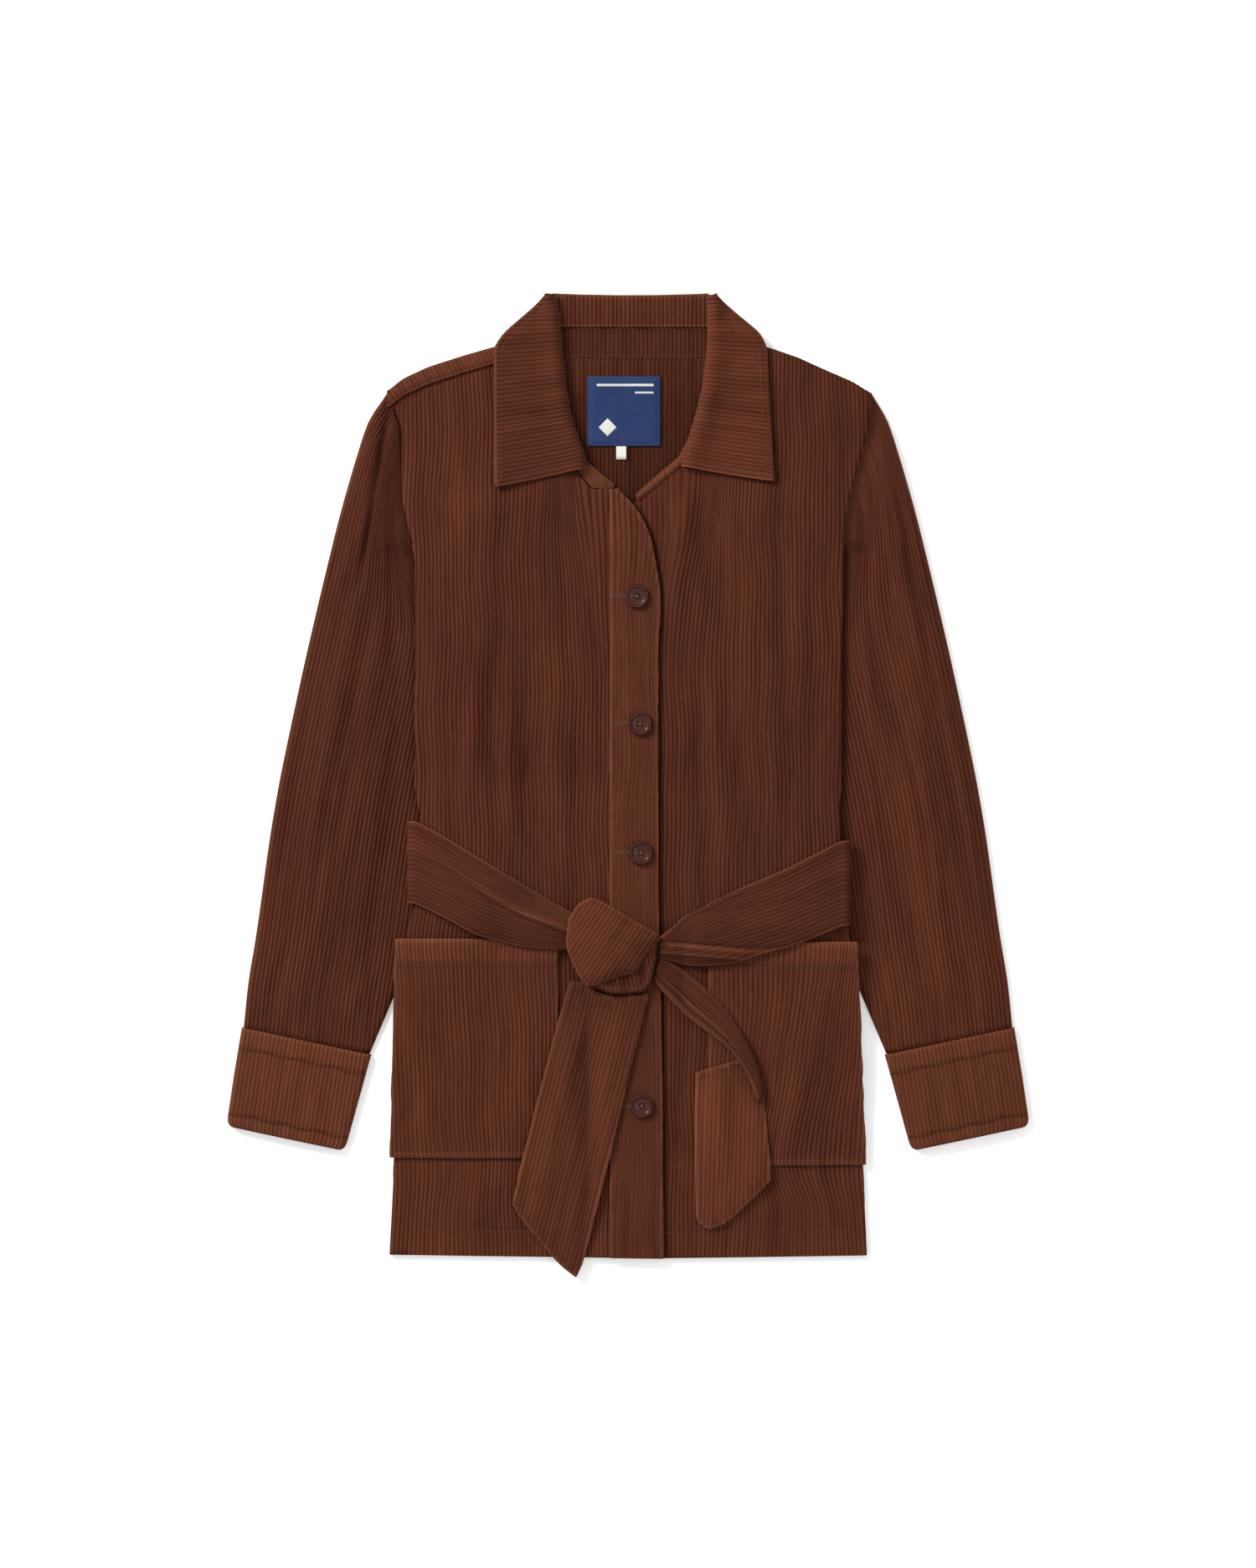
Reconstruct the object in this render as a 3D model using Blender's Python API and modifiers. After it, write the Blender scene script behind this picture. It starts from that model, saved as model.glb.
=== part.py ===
"""Corduroy jacket laid flat on its back, belt knotted at the front.

Metres, +Z up. X runs across the jacket, Y from hem to collar, and z = 0 is the surface it lies on.
"""
import math

import bmesh
import bpy
from mathutils import Vector

# cloth walls and clearances
CLOTH = 0.0018
DOUBLE = 0.0030
PAPER = 0.0010
SEAM = 0.0003
LAY = 0.0008

# heights of the layers that hide below the body
SLEEVE_FLAT = 0.0053
SLEEVE_FULL = 0.0074
SLEEVE_LIFT = SLEEVE_FLAT + 1.5 * LAY
BELT_LIFT = DOUBLE + LAY
COLLAR_LIFT = DOUBLE + LAY
EASE = 0.0030
HEAD_GAP = 0.0018        # from the body's armhole to the sleeve's edge

# belt
BELT_TOP_AT_SIDE = {-1: -0.030, 1: -0.041}
BELT_LOW_AT_SIDE = {-1: -0.097, 1: -0.116}
BELT_RAMP = 0.040
# the outer end of a front stretch: its turn past the side, and the shares of the length it works on
END_TURN = 0.0026
END_SHARE = 0.02
SIDE_SHARE = 0.15
STRETCH_SHARES = (0.0, 0.015, 0.03, 0.08, 0.15, 0.24, 0.33, 0.42, 0.51, 0.60, 0.69, 0.78, 0.87, 0.94, 1.0)
# x of the hidden stretch's columns
BELT_LINES = (-0.1787, -0.165, -0.150, -0.138, -0.126, -0.114, -0.102, -0.090, -0.078, -0.066, -0.030, 0.030,
              0.066, 0.078, 0.090, 0.102, 0.114, 0.126, 0.138, 0.150, 0.165, 0.1815)

# collar
FOLD_FRONT = 0.3822
FOLD_TOP = 0.4110
FOLD_DIP = 0.0015
FOLD_STEPS = 6
# y, left x, right x of the hidden fall
FALL = ((0.3450, -0.1020, 0.1080), (0.3680, -0.1040, 0.1090), (0.3900, -0.0820, 0.0880),
        (0.4077, -0.0632, 0.0676))
# x, y of the leaves' lower edges
LEAF_LOW_L = ((-0.1110, 0.2480), (-0.0360, 0.2645))
LEAF_LOW_R = ((0.0466, 0.2660), (0.0900, 0.2580), (0.1217, 0.2526))
NECK_CORNER = 0.079

# front opening
BAND_LEFT = -0.0123
UNDERLAP_EDGE = -0.0080
BUTTONS = ((0.0074, 0.1567), (0.0102, 0.0503), (0.0109, -0.0575), (0.0116, -0.2689))

# radius, height of a button's turned half profile, from the underside's middle to the top's middle
BUTTON_PROFILE = ((0.0, 0.0), (0.0078, 0.0), (0.0096, 0.0008), (0.0100, 0.0018), (0.0098, 0.0030),
                  (0.0090, 0.0036), (0.0080, 0.0033), (0.0072, 0.0024), (0.0, 0.0022))
BUTTON_STEPS = 16

# x, y boxes: left, right, low, top
STAND_BACK = (-0.0586, 0.0676, 0.3563, 0.3817)
NECK_LABEL = (-0.0340, 0.0270, 0.2830, 0.3410)
SIZE_TAB = (-0.0098, -0.0014, 0.2720, 0.2827)

CUFF_WALL = 0.0024
CUFF_HEIGHT = 0.0080

# y, left side x, right side x
SIDES = (
    (-0.3970, -0.1995, 0.1999), (-0.2600, -0.1925, 0.1930), (-0.1280, -0.1840, 0.1845),
    (-0.1000, -0.1780, 0.1800), (-0.0300, -0.1722, 0.1756), (-0.0050, -0.1775, 0.1775),
    (0.1910, -0.1775, 0.1788), (0.2140, -0.1845, 0.1805), (0.2400, -0.1900, 0.1850),
    (0.2770, -0.1908, 0.1957), (0.3000, -0.1915, 0.2020), (0.3280, -0.2020, 0.2034),
)
# x, y of the hem
HEM = ((-0.1995, -0.3940), (-0.0120, -0.3965), (0.0290, -0.3970), (0.1999, -0.3946))
# x, y of the shoulders and back neck
SHOULDERS = (
    (-0.2020, 0.3280), (-0.1887, 0.3390), (-0.1670, 0.3490), (-0.1387, 0.3580), (-0.1117, 0.3656),
    (-0.0760, 0.3740), (-0.0660, 0.3640), (-0.0590, 0.3560), (0.0680, 0.3560), (0.0740, 0.3640),
    (0.0790, 0.3740), (0.1130, 0.3667), (0.1426, 0.3570), (0.1650, 0.3470), (0.1880, 0.3370),
    (0.2034, 0.3272),
)
# how far the back turns forward over the left shoulder
FORWARD_TURN = 0.0110
# x, y of the front's neck on the left
NECK_L = (
    (-0.0930, 0.3655), (-0.0790, 0.3520), (-0.0740, 0.3300),
    (-0.0660, 0.3020), (-0.0540, 0.2770), (-0.0400, 0.2580), (-0.0310, 0.2468), (-0.0126, 0.2466),
)
# x, y of the left front's neck and shoulder
FRONT_R_TOP = (
    (-0.0080, 0.2320), (0.0080, 0.2365), (0.0200, 0.2450), (0.0460, 0.2655), (0.0620, 0.2870),
    (0.0720, 0.3110), (0.0790, 0.3460), (0.0850, 0.3728), (0.1130, 0.3664), (0.1426, 0.3567),
    (0.1650, 0.3467), (0.1880, 0.3367), (0.2034, 0.3270),
)
# y, x of the band's free edge
BAND_EDGE = (
    (-0.3970, 0.0290), (0.1000, 0.0270), (0.1670, 0.0277), (0.1950, 0.0249), (0.2144, 0.0179),
    (0.2337, 0.0039), (0.2466, -0.0105),
)
# y, left roll line x, right roll line x
ROLL = (
    (0.2720, -0.0368, 0.0466), (0.2855, -0.0417, 0.0510), (0.3060, -0.0487, 0.0577),
    (0.3320, -0.0536, 0.0640), (0.3650, -0.0570, 0.0677), (0.3970, -0.0596, 0.0685),
    (0.4110, -0.0640, 0.0680),
)
# y, outer edge x of the left leaf, of the right leaf
LEAF_EDGE = (
    (0.2480, -0.1110, 0.1217), (0.3650, -0.1112, 0.1150), (0.3756, -0.1030, 0.1090),
    (0.4085, -0.0668, 0.0716),
)
# lower point and upper point of the stand's front ends, from the opening up to the shoulder
STAND_L = (
    (-0.0110, 0.2471, -0.0123, 0.2500), (-0.0200, 0.2471, -0.0220, 0.2585),
    (-0.0300, 0.2480, -0.0340, 0.2685), (-0.0392, 0.2590, -0.0400, 0.2780),
    (-0.0530, 0.2782, -0.0500, 0.3020), (-0.0648, 0.3030, -0.0560, 0.3280),
    (-0.0728, 0.3310, -0.0590, 0.3540),
)
STAND_R = (
    (0.0078, 0.2373, 0.0070, 0.2410), (0.0195, 0.2456, 0.0170, 0.2505), (0.0450, 0.2670, 0.0435, 0.2730),
    (0.0612, 0.2878, 0.0550, 0.2960), (0.0710, 0.3118, 0.0640, 0.3230), (0.0780, 0.3465, 0.0690, 0.3500),
)
# sleeve: outer fold x, y, inner fold x, y, share of the width that is clear of the body
SLEEVE = (
    (0.2180, 0.3040, 0.1780, 0.1780, 0.55), (0.2295, 0.2670, 0.1725, 0.1580, 0.55),
    (0.2410, 0.2270, 0.1620, 0.1360, 0.55), (0.2550, 0.1700, 0.1470, 0.1100, 0.56),
    (0.2695, 0.1080, 0.1360, 0.0780, 0.58), (0.2810, 0.0550, 0.1340, 0.0350, 0.60),
    (0.2915, 0.0050, 0.1390, -0.0150, 0.62), (0.3000, -0.0440, 0.1500, -0.0620, 0.66),
    (0.3110, -0.1250, 0.1810, -0.1430, 0.72), (0.3180, -0.1650, 0.1990, -0.1850, 0.92),
    (0.3218, -0.2035, 0.2162, -0.2258, 1.00),
)
CUFF = ((0.3235, -0.2045, 0.2152, -0.2275), (0.3300, -0.2440, 0.2260, -0.2670), (0.3362, -0.2860, 0.2370, -0.3070))
# ring of a flat tube: share of the width from the outer fold, share of the height
RING = (
    (0.98, 0.00), (0.75, 0.00), (0.50, 0.00), (0.25, 0.00), (0.02, 0.00), (0.004, 0.22), (0.0, 0.5),
    (0.004, 0.78), (0.02, 1.00), (0.14, 1.00), (0.28, 1.00), (0.42, 1.00), (0.56, 1.00), (0.70, 1.00),
    (0.84, 1.00), (0.98, 1.00), (0.996, 0.78), (1.0, 0.5), (0.996, 0.22), (0.98, 0.00),
)
# patch pockets: inner x, bottom y, top y at the inner corner, outer x at top and bottom, top y outside
POCKET_L = (-0.0590, -0.3120, -0.1300, -0.1940, -0.1990, -0.1290)
POCKET_R = (0.0680, -0.3180, -0.1320, 0.1910, 0.1990, -0.1320)
# belt stretches: x, top y, low y
BELT_L = (
    (-0.1790, -0.0310, -0.0980), (-0.1500, -0.0470, -0.1120), (-0.1260, -0.0620, -0.1250),
    (-0.0870, -0.0860, -0.1350), (-0.0540, -0.1050, -0.1370),
)
BELT_R = (
    (0.0320, -0.1260, -0.1460), (0.0450, -0.1130, -0.1500), (0.0630, -0.1040, -0.1510),
    (0.0870, -0.0910, -0.1480), (0.1330, -0.0715, -0.1350), (0.1805, -0.0470, -0.1170),
)
# knot: left x, right x at each y
KNOT = (
    (-0.1760, -0.0120, 0.0060), (-0.1690, -0.0330, 0.0190), (-0.1560, -0.0440, 0.0240),
    (-0.1360, -0.0510, 0.0260), (-0.1200, -0.0500, 0.0200), (-0.1080, -0.0460, 0.0030),
    (-0.0950, -0.0320, -0.0240),
)
KNOT_WALL = 0.0012
KNOT_HEIGHT = 0.0120
# tails: y, left x, right x
TAIL_L = (
    (-0.4115, -0.0450, -0.0430), (-0.3990, -0.0590, -0.0385), (-0.3520, -0.0956, -0.0255),
    (-0.2600, -0.0735, -0.0045), (-0.1790, -0.0520, 0.0160),
)
TAIL_R = (
    (-0.3710, 0.0670, 0.0700), (-0.3640, 0.0585, 0.0840), (-0.3300, 0.0575, 0.1180),
    (-0.2640, 0.0575, 0.1126), (-0.2280, 0.0580, 0.1040),
)
# turned band of the right tail: outer x, y and inner x, y
TURN = (
    (0.0310, -0.1530, 0.0265, -0.1640), (0.0450, -0.1555, 0.0400, -0.1835), (0.0770, -0.1835, 0.0580, -0.1990),
    (0.0920, -0.2080, 0.0825, -0.2140), (0.1050, -0.2265, 0.0990, -0.2268),
)


def mix(a, b, t):
    return a + (b - a) * t


def soft(low, high, value):
    t = min(1.0, max(0.0, (value - low) / (high - low)))
    return t * t * (3.0 - 2.0 * t)


def read(table, key, column=1):
    """Value of a column at a key, straight between the rows."""
    if key <= table[0][0]:
        return table[0][column]
    for low, high in zip(table, table[1:]):
        if key <= high[0]:
            return mix(low[column], high[column], (key - low[0]) / (high[0] - low[0]))
    return table[-1][column]


def row_at(table, t):
    """Row of a table at a share t of its rows."""
    place = min(t, 1.0) * (len(table) - 1)
    index = min(int(place), len(table) - 2)
    return [mix(a, b, place - index) for a, b in zip(table[index], table[index + 1])]


def side(y, hand):
    return read(SIDES, y, 1 if hand < 0 else 2)


def sleeve_lift(x, y):
    """Height that a hidden sleeve gives to the body on it."""
    inward = read(((-0.300, 0.250), (-0.185, 0.188), (-0.140, 0.160), (-0.085, 0.128)), y)
    across = soft(inward - 0.058, inward - 0.004, abs(x))
    along = 1.0 - soft(0.222, 0.282, y)
    return SLEEVE_LIFT * across * along


def belt_edge(x, at_side):
    return mix(at_side[-1], at_side[1], (x + 0.178) / 0.358)


def belt_lift(x, y):
    """Height of the belt's back stretch under the body."""
    top = belt_edge(x, BELT_TOP_AT_SIDE) + 0.004
    low = belt_edge(x, BELT_LOW_AT_SIDE) - 0.004
    return BELT_LIFT * soft(low - BELT_RAMP, low, y) * (1.0 - soft(top, top + BELT_RAMP, y))


def collar_lift(x, y):
    """Height of the collar's hidden fall under the neck and shoulders."""
    return COLLAR_LIFT * soft(0.298, 0.340, y) * (1.0 - soft(0.116, 0.156, abs(x)))


def back_at(x, y):
    return sleeve_lift(x, y) + belt_lift(x, y) + collar_lift(x, y)


def ease(x, y):
    """Air below the fronts, nothing at the sides, hem, shoulders and belt."""
    edge = soft(0.0, 0.060, side(y, x) / (1 if x > 0 else -1) - abs(x))
    ends = soft(-0.397, -0.340, y) * (1.0 - soft(0.200, 0.300, y))
    waist = 1.0 - soft(-0.240, -0.150, y) * (1.0 - soft(-0.030, 0.060, y))
    middle = mix(0.35, 1.0, soft(0.010, 0.070, abs(x)))
    return EASE * edge * ends * waist * middle


def front_at(x, y):
    return back_at(x, y) + CLOTH + LAY + SEAM + ease(x, y)


def on_front(x, y):
    return front_at(x, y) + CLOTH + LAY


def on_pocket(x, y):
    """Height above the pockets and the front band."""
    left = soft(0.058 - 0.030, 0.058, -x)
    right = soft(0.067 - 0.028, 0.067, x)
    pocket = (CLOTH + 2.0 * LAY) * max(left, right) * soft(-0.100, -0.124, y) * soft(-0.352, -0.322, y)
    band = (DOUBLE + 2.0 * LAY) * soft(-0.040, -0.015, x) * (1.0 - soft(0.0305, 0.050, x))
    return on_front(x, y) + max(pocket, band)


def spread(u, v, left, right, low, high):
    """Point of a panel between two side curves x(y) and two end curves y(x).

    v is a height below LEVEL_ROWS_END, and above it a share of the way from there to the top.
    """
    y_low = -0.1
    y_high = 0.1
    for _ in range(12):
        y_low = low(mix(left(y_low), right(y_low), u))
        y_high = high(mix(left(y_high), right(y_high), u))
    y = max(y_low, v) if v <= LEVEL_ROWS_END else mix(LEVEL_ROWS_END, y_high, v - LEVEL_ROWS_END)
    if v == ROWS[0]:
        y = y_low
    return mix(left(y), right(y), u), y


def even(count):
    return [index / count for index in range(count + 1)]


def material(name, colour, roughness):
    finish = bpy.data.materials.new(name)
    finish.use_nodes = True
    shader = finish.node_tree.nodes["Principled BSDF"]
    shader.inputs["Base Color"].default_value = (*colour, 1.0)
    shader.inputs["Roughness"].default_value = roughness
    shader.inputs["Metallic"].default_value = 0.0
    return finish


def keep(name, bm, finish):
    """Object of its own from a bmesh, in the jacket's collection."""
    mesh = bpy.data.meshes.new(name)
    bm.to_mesh(mesh)
    bm.free()
    mesh.materials.append(finish)
    mesh.shade_smooth()
    item = bpy.data.objects.new(name, mesh)
    jacket.objects.link(item)
    return item


def thicken(item, wall, offset):
    shell = item.modifiers.new("wall", "SOLIDIFY")
    shell.thickness = wall
    shell.offset = offset


def grid(us, vs, place):
    bm = bmesh.new()
    bmesh.ops.create_grid(bm, x_segments=len(us) - 1, y_segments=len(vs) - 1, size=0.5)
    for vert in bm.verts:
        column = round((vert.co.x + 0.5) * (len(us) - 1))
        row = round((vert.co.y + 0.5) * (len(vs) - 1))
        vert.co = Vector(place(us[column], vs[row]))
    return bm


def sheet(name, us, vs, place, finish, wall=CLOTH, offset=1.0):
    """Open grid with its wall above it (offset 1) or below it (offset -1)."""
    item = keep(name, grid(us, vs, place), finish)
    thicken(item, wall, offset)
    return item


def in_box(box, u, v):
    left, right, bottom, top = box
    return mix(left, right, u), mix(bottom, top, v)


def strip_of(table, t, s):
    """Point between a row's lower and upper point."""
    x0, y0, x1, y1 = row_at(table, t)
    return mix(x0, x1, s), mix(y0, y1, s)


LEVEL_ROWS_END = 0.206
ROWS = (-0.400, -0.360, -0.320, -0.290, -0.260, -0.230, -0.205, -0.185, -0.170, -0.156, -0.142, -0.128, -0.114,
        -0.100, -0.076, -0.053, -0.030, -0.018, -0.005, 0.008, 0.022, 0.060, 0.110, 0.160, 0.191, 0.206)
TOP_SHARES = (0.07, 0.17, 0.27, 0.37, 0.46, 0.55, 0.64, 0.74, 0.86, 1.0)
ROW_SHARES = ROWS + tuple(LEVEL_ROWS_END + share for share in TOP_SHARES)
# x of the back's columns at the shoulders, corners of the neck among them
BACK_LINES = (-0.2020, -0.185, -0.165, -0.147, -0.130, -0.113, -0.095, -0.076, -0.066, -0.059, 0.0, 0.068,
              0.074, 0.079, 0.097, 0.113, 0.130, 0.147, 0.165, 0.185, 0.2034)
FRONT_L_LINES = (-0.2020, -0.185, -0.165, -0.147, -0.130, -0.113, -0.095, -0.093, -0.079, -0.074, -0.066,
                 -0.054, -0.040, -0.031, -0.0126)
FRONT_R_LINES = (-0.008, 0.008, 0.020, 0.046, 0.062, 0.072, 0.079, 0.085, 0.099, 0.113, 0.130, 0.147, 0.165,
                 0.185, 0.2034)


def shares_of(lines):
    return [(x - lines[0]) / (lines[-1] - lines[0]) for x in lines]


def make_back():
    """Back, with the forward shoulder turned over the silhouette on the left."""
    def place(u, v):
        x, y = spread(u, v, lambda y: side(y, -1), lambda y: side(y, 1),
                      lambda x: read(HEM, x), lambda x: read(SHOULDERS, x))
        return x, y, back_at(x, y)

    bm = grid(shares_of(BACK_LINES), ROW_SHARES, place)
    turned = [edge for edge in bm.edges if edge.is_boundary
              and all(abs(vert.co.y - read(SHOULDERS, vert.co.x)) < 1e-5 for vert in edge.verts)
              and all(-0.2030 < vert.co.x < -0.080 for vert in edge.verts)]
    # forward step, height: one row for each line of the turned edge
    turn = ((0.0011, 0.0008), (0.0016, 0.0022), (0.0011, 0.0036), (-0.0008, 2.0 * CLOTH + LAY))
    for forward, height in turn + ((-FORWARD_TURN, 2.0 * CLOTH + LAY),):
        made = bmesh.ops.extrude_edge_only(bm, edges=turned)["geom"]
        moved = {part for part in made if isinstance(part, bmesh.types.BMVert)}
        turned = [part for part in made if isinstance(part, bmesh.types.BMEdge)
                  and all(vert in moved for vert in part.verts)]
        for vert in moved:
            y = read(SHOULDERS, vert.co.x)
            vert.co.y = y + forward
            vert.co.z = back_at(vert.co.x, y) + height
            vert.co.x = max(vert.co.x, side(vert.co.y, -1))
    item = keep("back", bm, corduroy)
    thicken(item, CLOTH, 1.0)
    return item


def front_l_top(x):
    tip_y = SIDES[-1][0] - FORWARD_TURN
    first = BACK_LINES[1]
    if x < first:
        share = (x - side(tip_y, -1)) / (first - side(tip_y, -1))
        return mix(tip_y, read(SHOULDERS, first) - FORWARD_TURN, share) - 2.0 * SEAM
    if x < -0.0940:
        return read(SHOULDERS, x) - FORWARD_TURN - 2.0 * SEAM
    return read(NECK_L, x)


def make_fronts():
    def left(u, v):
        x, y = spread(u, v, lambda y: side(y, -1), lambda y: BAND_LEFT - SEAM,
                      lambda x: read(HEM, x), front_l_top)
        return x, y, front_at(x, y) + 0.0012 * soft(-0.050, BAND_LEFT, x)

    def right(u, v):
        x, y = spread(u, v, lambda y: UNDERLAP_EDGE, lambda y: side(y, 1),
                      lambda x: read(HEM, x), lambda x: read(FRONT_R_TOP, x))
        return x, y, front_at(x, y)

    sheet("front_l", shares_of(FRONT_L_LINES), ROW_SHARES, left, corduroy)
    sheet("front_r", shares_of(FRONT_R_LINES), ROW_SHARES, right, corduroy)


def make_band():
    def place(u, v):
        x, y = spread(u, v, lambda y: BAND_LEFT, lambda y: read(BAND_EDGE, y),
                      lambda x: read(HEM, x), lambda x: BAND_EDGE[-1][0])
        return x, y, on_front(x, y) + LAY

    sheet("front_band", even(4), ROW_SHARES, place, corduroy, DOUBLE)


def tube_place(rows, heights, hand, armhole):
    """Point on a flat tube whose rows run from an outer fold to an inner fold."""
    def place(u, v):
        share, level = RING[round(u * (len(RING) - 1))]
        index = round(v * (len(rows) - 1))
        ox, oy, ix, iy = rows[index][:4]
        x = mix(ox, ix, share)
        y = mix(oy, iy, share)
        if armhole:
            pull = max(0.0, 1.0 - index / 4.0)
            line_y = mix(rows[0][1], rows[0][3], share)
            curve_x = abs(side(line_y, hand)) + HEAD_GAP
            x += (curve_x - mix(rows[0][0], rows[0][2], share)) * pull
        return hand * x, y, heights(index, share) * level
    return place


def close_tube(bm):
    """Joins a tube along its length and turns its faces outward."""
    bmesh.ops.remove_doubles(bm, verts=bm.verts, dist=0.00001)
    bm.normal_update()
    highest = max(bm.faces, key=lambda face: face.calc_center_median().z)
    if highest.normal.z < 0.0:
        bmesh.ops.reverse_faces(bm, faces=bm.faces)


def cuff_height(index, share):
    return CUFF_HEIGHT


def make_sleeves():
    for hand, letter in ((-1, "l"), (1, "r")):
        head = (abs(side(0.3275, hand)) + HEAD_GAP, 0.3275, abs(side(0.192, hand)) + HEAD_GAP, 0.1920, 0.5)
        rows = (head,) + SLEEVE

        def height(index, share):
            full = soft(0.0, 1.0, min(1.0, share / rows[index][4]) * 2.0) * \
                soft(0.0, 1.0, (1.0 - min(1.0, share / rows[index][4])) * 2.5)
            return SLEEVE_FLAT + (SLEEVE_FULL - SLEEVE_FLAT) * full

        for part, table, wall, heights, open_end in (
                ("sleeve", rows, CLOTH, height, True),
                ("cuff", CUFF, CUFF_WALL, cuff_height, False)):
            place = tube_place(table, heights, hand, open_end)
            bm = grid(even(len(RING) - 1), even(len(table) - 1), place)
            close_tube(bm)
            item = keep(f"{part}_{letter}", bm, corduroy)
            thicken(item, wall, -1.0)


def make_pockets():
    for name, hand, row in (("pocket_l", -1, POCKET_L), ("pocket_r", 1, POCKET_R)):
        inner, bottom, top_in, out_top, out_low, top_out = row

        def place(u, v):
            share = 1.0 - u if hand < 0 else u
            y = mix(bottom, mix(top_in, top_out, share), v)
            x = mix(inner, mix(out_low, out_top, v), share)
            return x, y, on_front(x, y) + LAY / 2.0

        sheet(name, even(10), even(12), place, corduroy)


def make_collar():
    """Stand in three stretches, the back's fold and fall, and the two leaves."""
    def stand_back(u, v):
        x, y = in_box(STAND_BACK, u, v)
        return x, y, collar_lift(x, STAND_BACK[2] - SEAM)

    sheet("collar_stand_back", even(10), even(2), stand_back, corduroy)
    for name, table, turn in (("collar_stand_l", STAND_L, False), ("collar_stand_r", STAND_R, True)):
        def strip(u, v):
            x, y = strip_of(table, v, u if not turn else 1.0 - u)
            return x, y, front_at(x, y)

        sheet(name, even(2), even(2 * (len(table) - 1)), strip, corduroy)

    # profile of the fold: y, height of the outer face
    reach = 2.0 * DOUBLE + LAY
    fold = [(FOLD_FRONT, reach), (ROLL[-2][0], reach)]
    for step in range(FOLD_STEPS + 1):
        angle = math.pi * (0.5 - step / FOLD_STEPS)
        drop = reach / 2.0 * (1.0 - math.cos(angle))
        fold.append((FOLD_TOP - drop, reach / 2.0 * (1.0 + math.sin(angle))))
    fold_end = len(fold)
    fold += [(y, 0.0) for y, _, _ in reversed(FALL[:-1])]

    def back_fold(u, v):
        index = round(v * (len(fold) - 1))
        y, z = fold[index]
        if index < fold_end:
            left = read(ROLL, y, 1) + 2.0 * SEAM
            right = read(ROLL, y, 2) - 2.0 * SEAM
        else:
            left = read(FALL, y, 1)
            right = read(FALL, y, 2)
        x = mix(left, right, u)
        dip = FOLD_DIP * (1.0 - (2.0 * u - 1.0) ** 2)
        return x, y - (dip if y > ROLL[-2][0] else 0.0), z

    sheet("collar_back", even(8), even(len(fold) - 1), back_fold, corduroy, DOUBLE, -1.0)

    leaves = (("collar_leaf_l", -1, LEAF_LOW_L, 1), ("collar_leaf_r", 1, LEAF_LOW_R, 2))
    for name, hand, bottom, column in leaves:
        def leaf(u, v):
            # share of the width from the free edge to the roll
            share = u if hand < 0 else 1.0 - u
            x = 0.0
            for _ in range(12):
                y = mix(read(bottom, x), LEAF_EDGE[-1][0], v)
                roll = read(ROLL, y, column) + hand * SEAM
                x = mix(read(LEAF_EDGE, y, column), roll, share)
            shoulder = read(SHOULDERS, max(NECK_CORNER, abs(x)) * hand)
            rest = on_front(x, min(y, shoulder)) + LAY
            past = soft(shoulder + 0.003, shoulder + 0.020, y) * soft(0.0, 0.016, abs(x) - abs(roll))
            return x, y, mix(rest, DOUBLE + 3.0 * LAY, past)

        sheet(name, even(7), even(16), leaf, corduroy, DOUBLE)


def make_labels():
    def label(u, v):
        x, y = in_box(NECK_LABEL, u, v)
        return x, y, back_at(x, y) + CLOTH + LAY / 2.0

    def tab(u, v):
        x, y = in_box(SIZE_TAB, u, v)
        return x, y, back_at(x, y) + CLOTH + LAY / 2.0

    sheet("neck_label", even(4), even(6), label, woven_blue, PAPER)
    sheet("size_tab", even(1), even(2), tab, woven_white, PAPER)


def make_belt():
    def hidden(u, v):
        x = mix(BELT_LINES[0], BELT_LINES[-1], u)
        y = mix(belt_edge(x, BELT_LOW_AT_SIDE), belt_edge(x, BELT_TOP_AT_SIDE), v)
        return x, y, sleeve_lift(x, y)

    columns = [(x - BELT_LINES[0]) / (BELT_LINES[-1] - BELT_LINES[0]) for x in BELT_LINES]
    sheet("belt_back", columns, even(3), hidden, corduroy, DOUBLE)

    def stretch(table, hand):
        """Front stretch, its outer end turned down over the body's side."""
        ends = sorted((table[0][0], table[-1][0]))
        outer_end = ends[0] if hand < 0 else ends[1]
        column = 1 if hand < 0 else 2

        def place(u, v):
            step = u if hand < 0 else 1.0 - u
            turn = hand * END_TURN if step < END_SHARE else 0.0
            x = outer_end + turn if turn else mix(ends[0], ends[1], u)
            y = mix(read(table, x, 2), read(table, x, 1), v)
            if step < SIDE_SHARE:
                edge = read(SIDES, y, column) + hand * (DOUBLE + 4.0 * SEAM)
                share = 1.0 - max(0.0, step - END_SHARE) / (SIDE_SHARE - END_SHARE)
                x += (edge - outer_end - turn) * share
            drop = 0.0
            if turn:
                drop = 1.0 if step < END_SHARE / 2.0 else 0.35
            upper = on_pocket(x, y) + DOUBLE
            floor = sleeve_lift(x, y) + DOUBLE + 2.0 * SEAM
            return x, y, mix(upper, floor, drop)
        return place

    sheet("belt_front_l", STRETCH_SHARES, even(5), stretch(BELT_L, -1), corduroy, DOUBLE, -1.0)
    mirrored = [1.0 - share for share in reversed(STRETCH_SHARES)]
    sheet("belt_front_r", mirrored, even(5), stretch(BELT_R, 1), corduroy, DOUBLE, -1.0)


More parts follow.
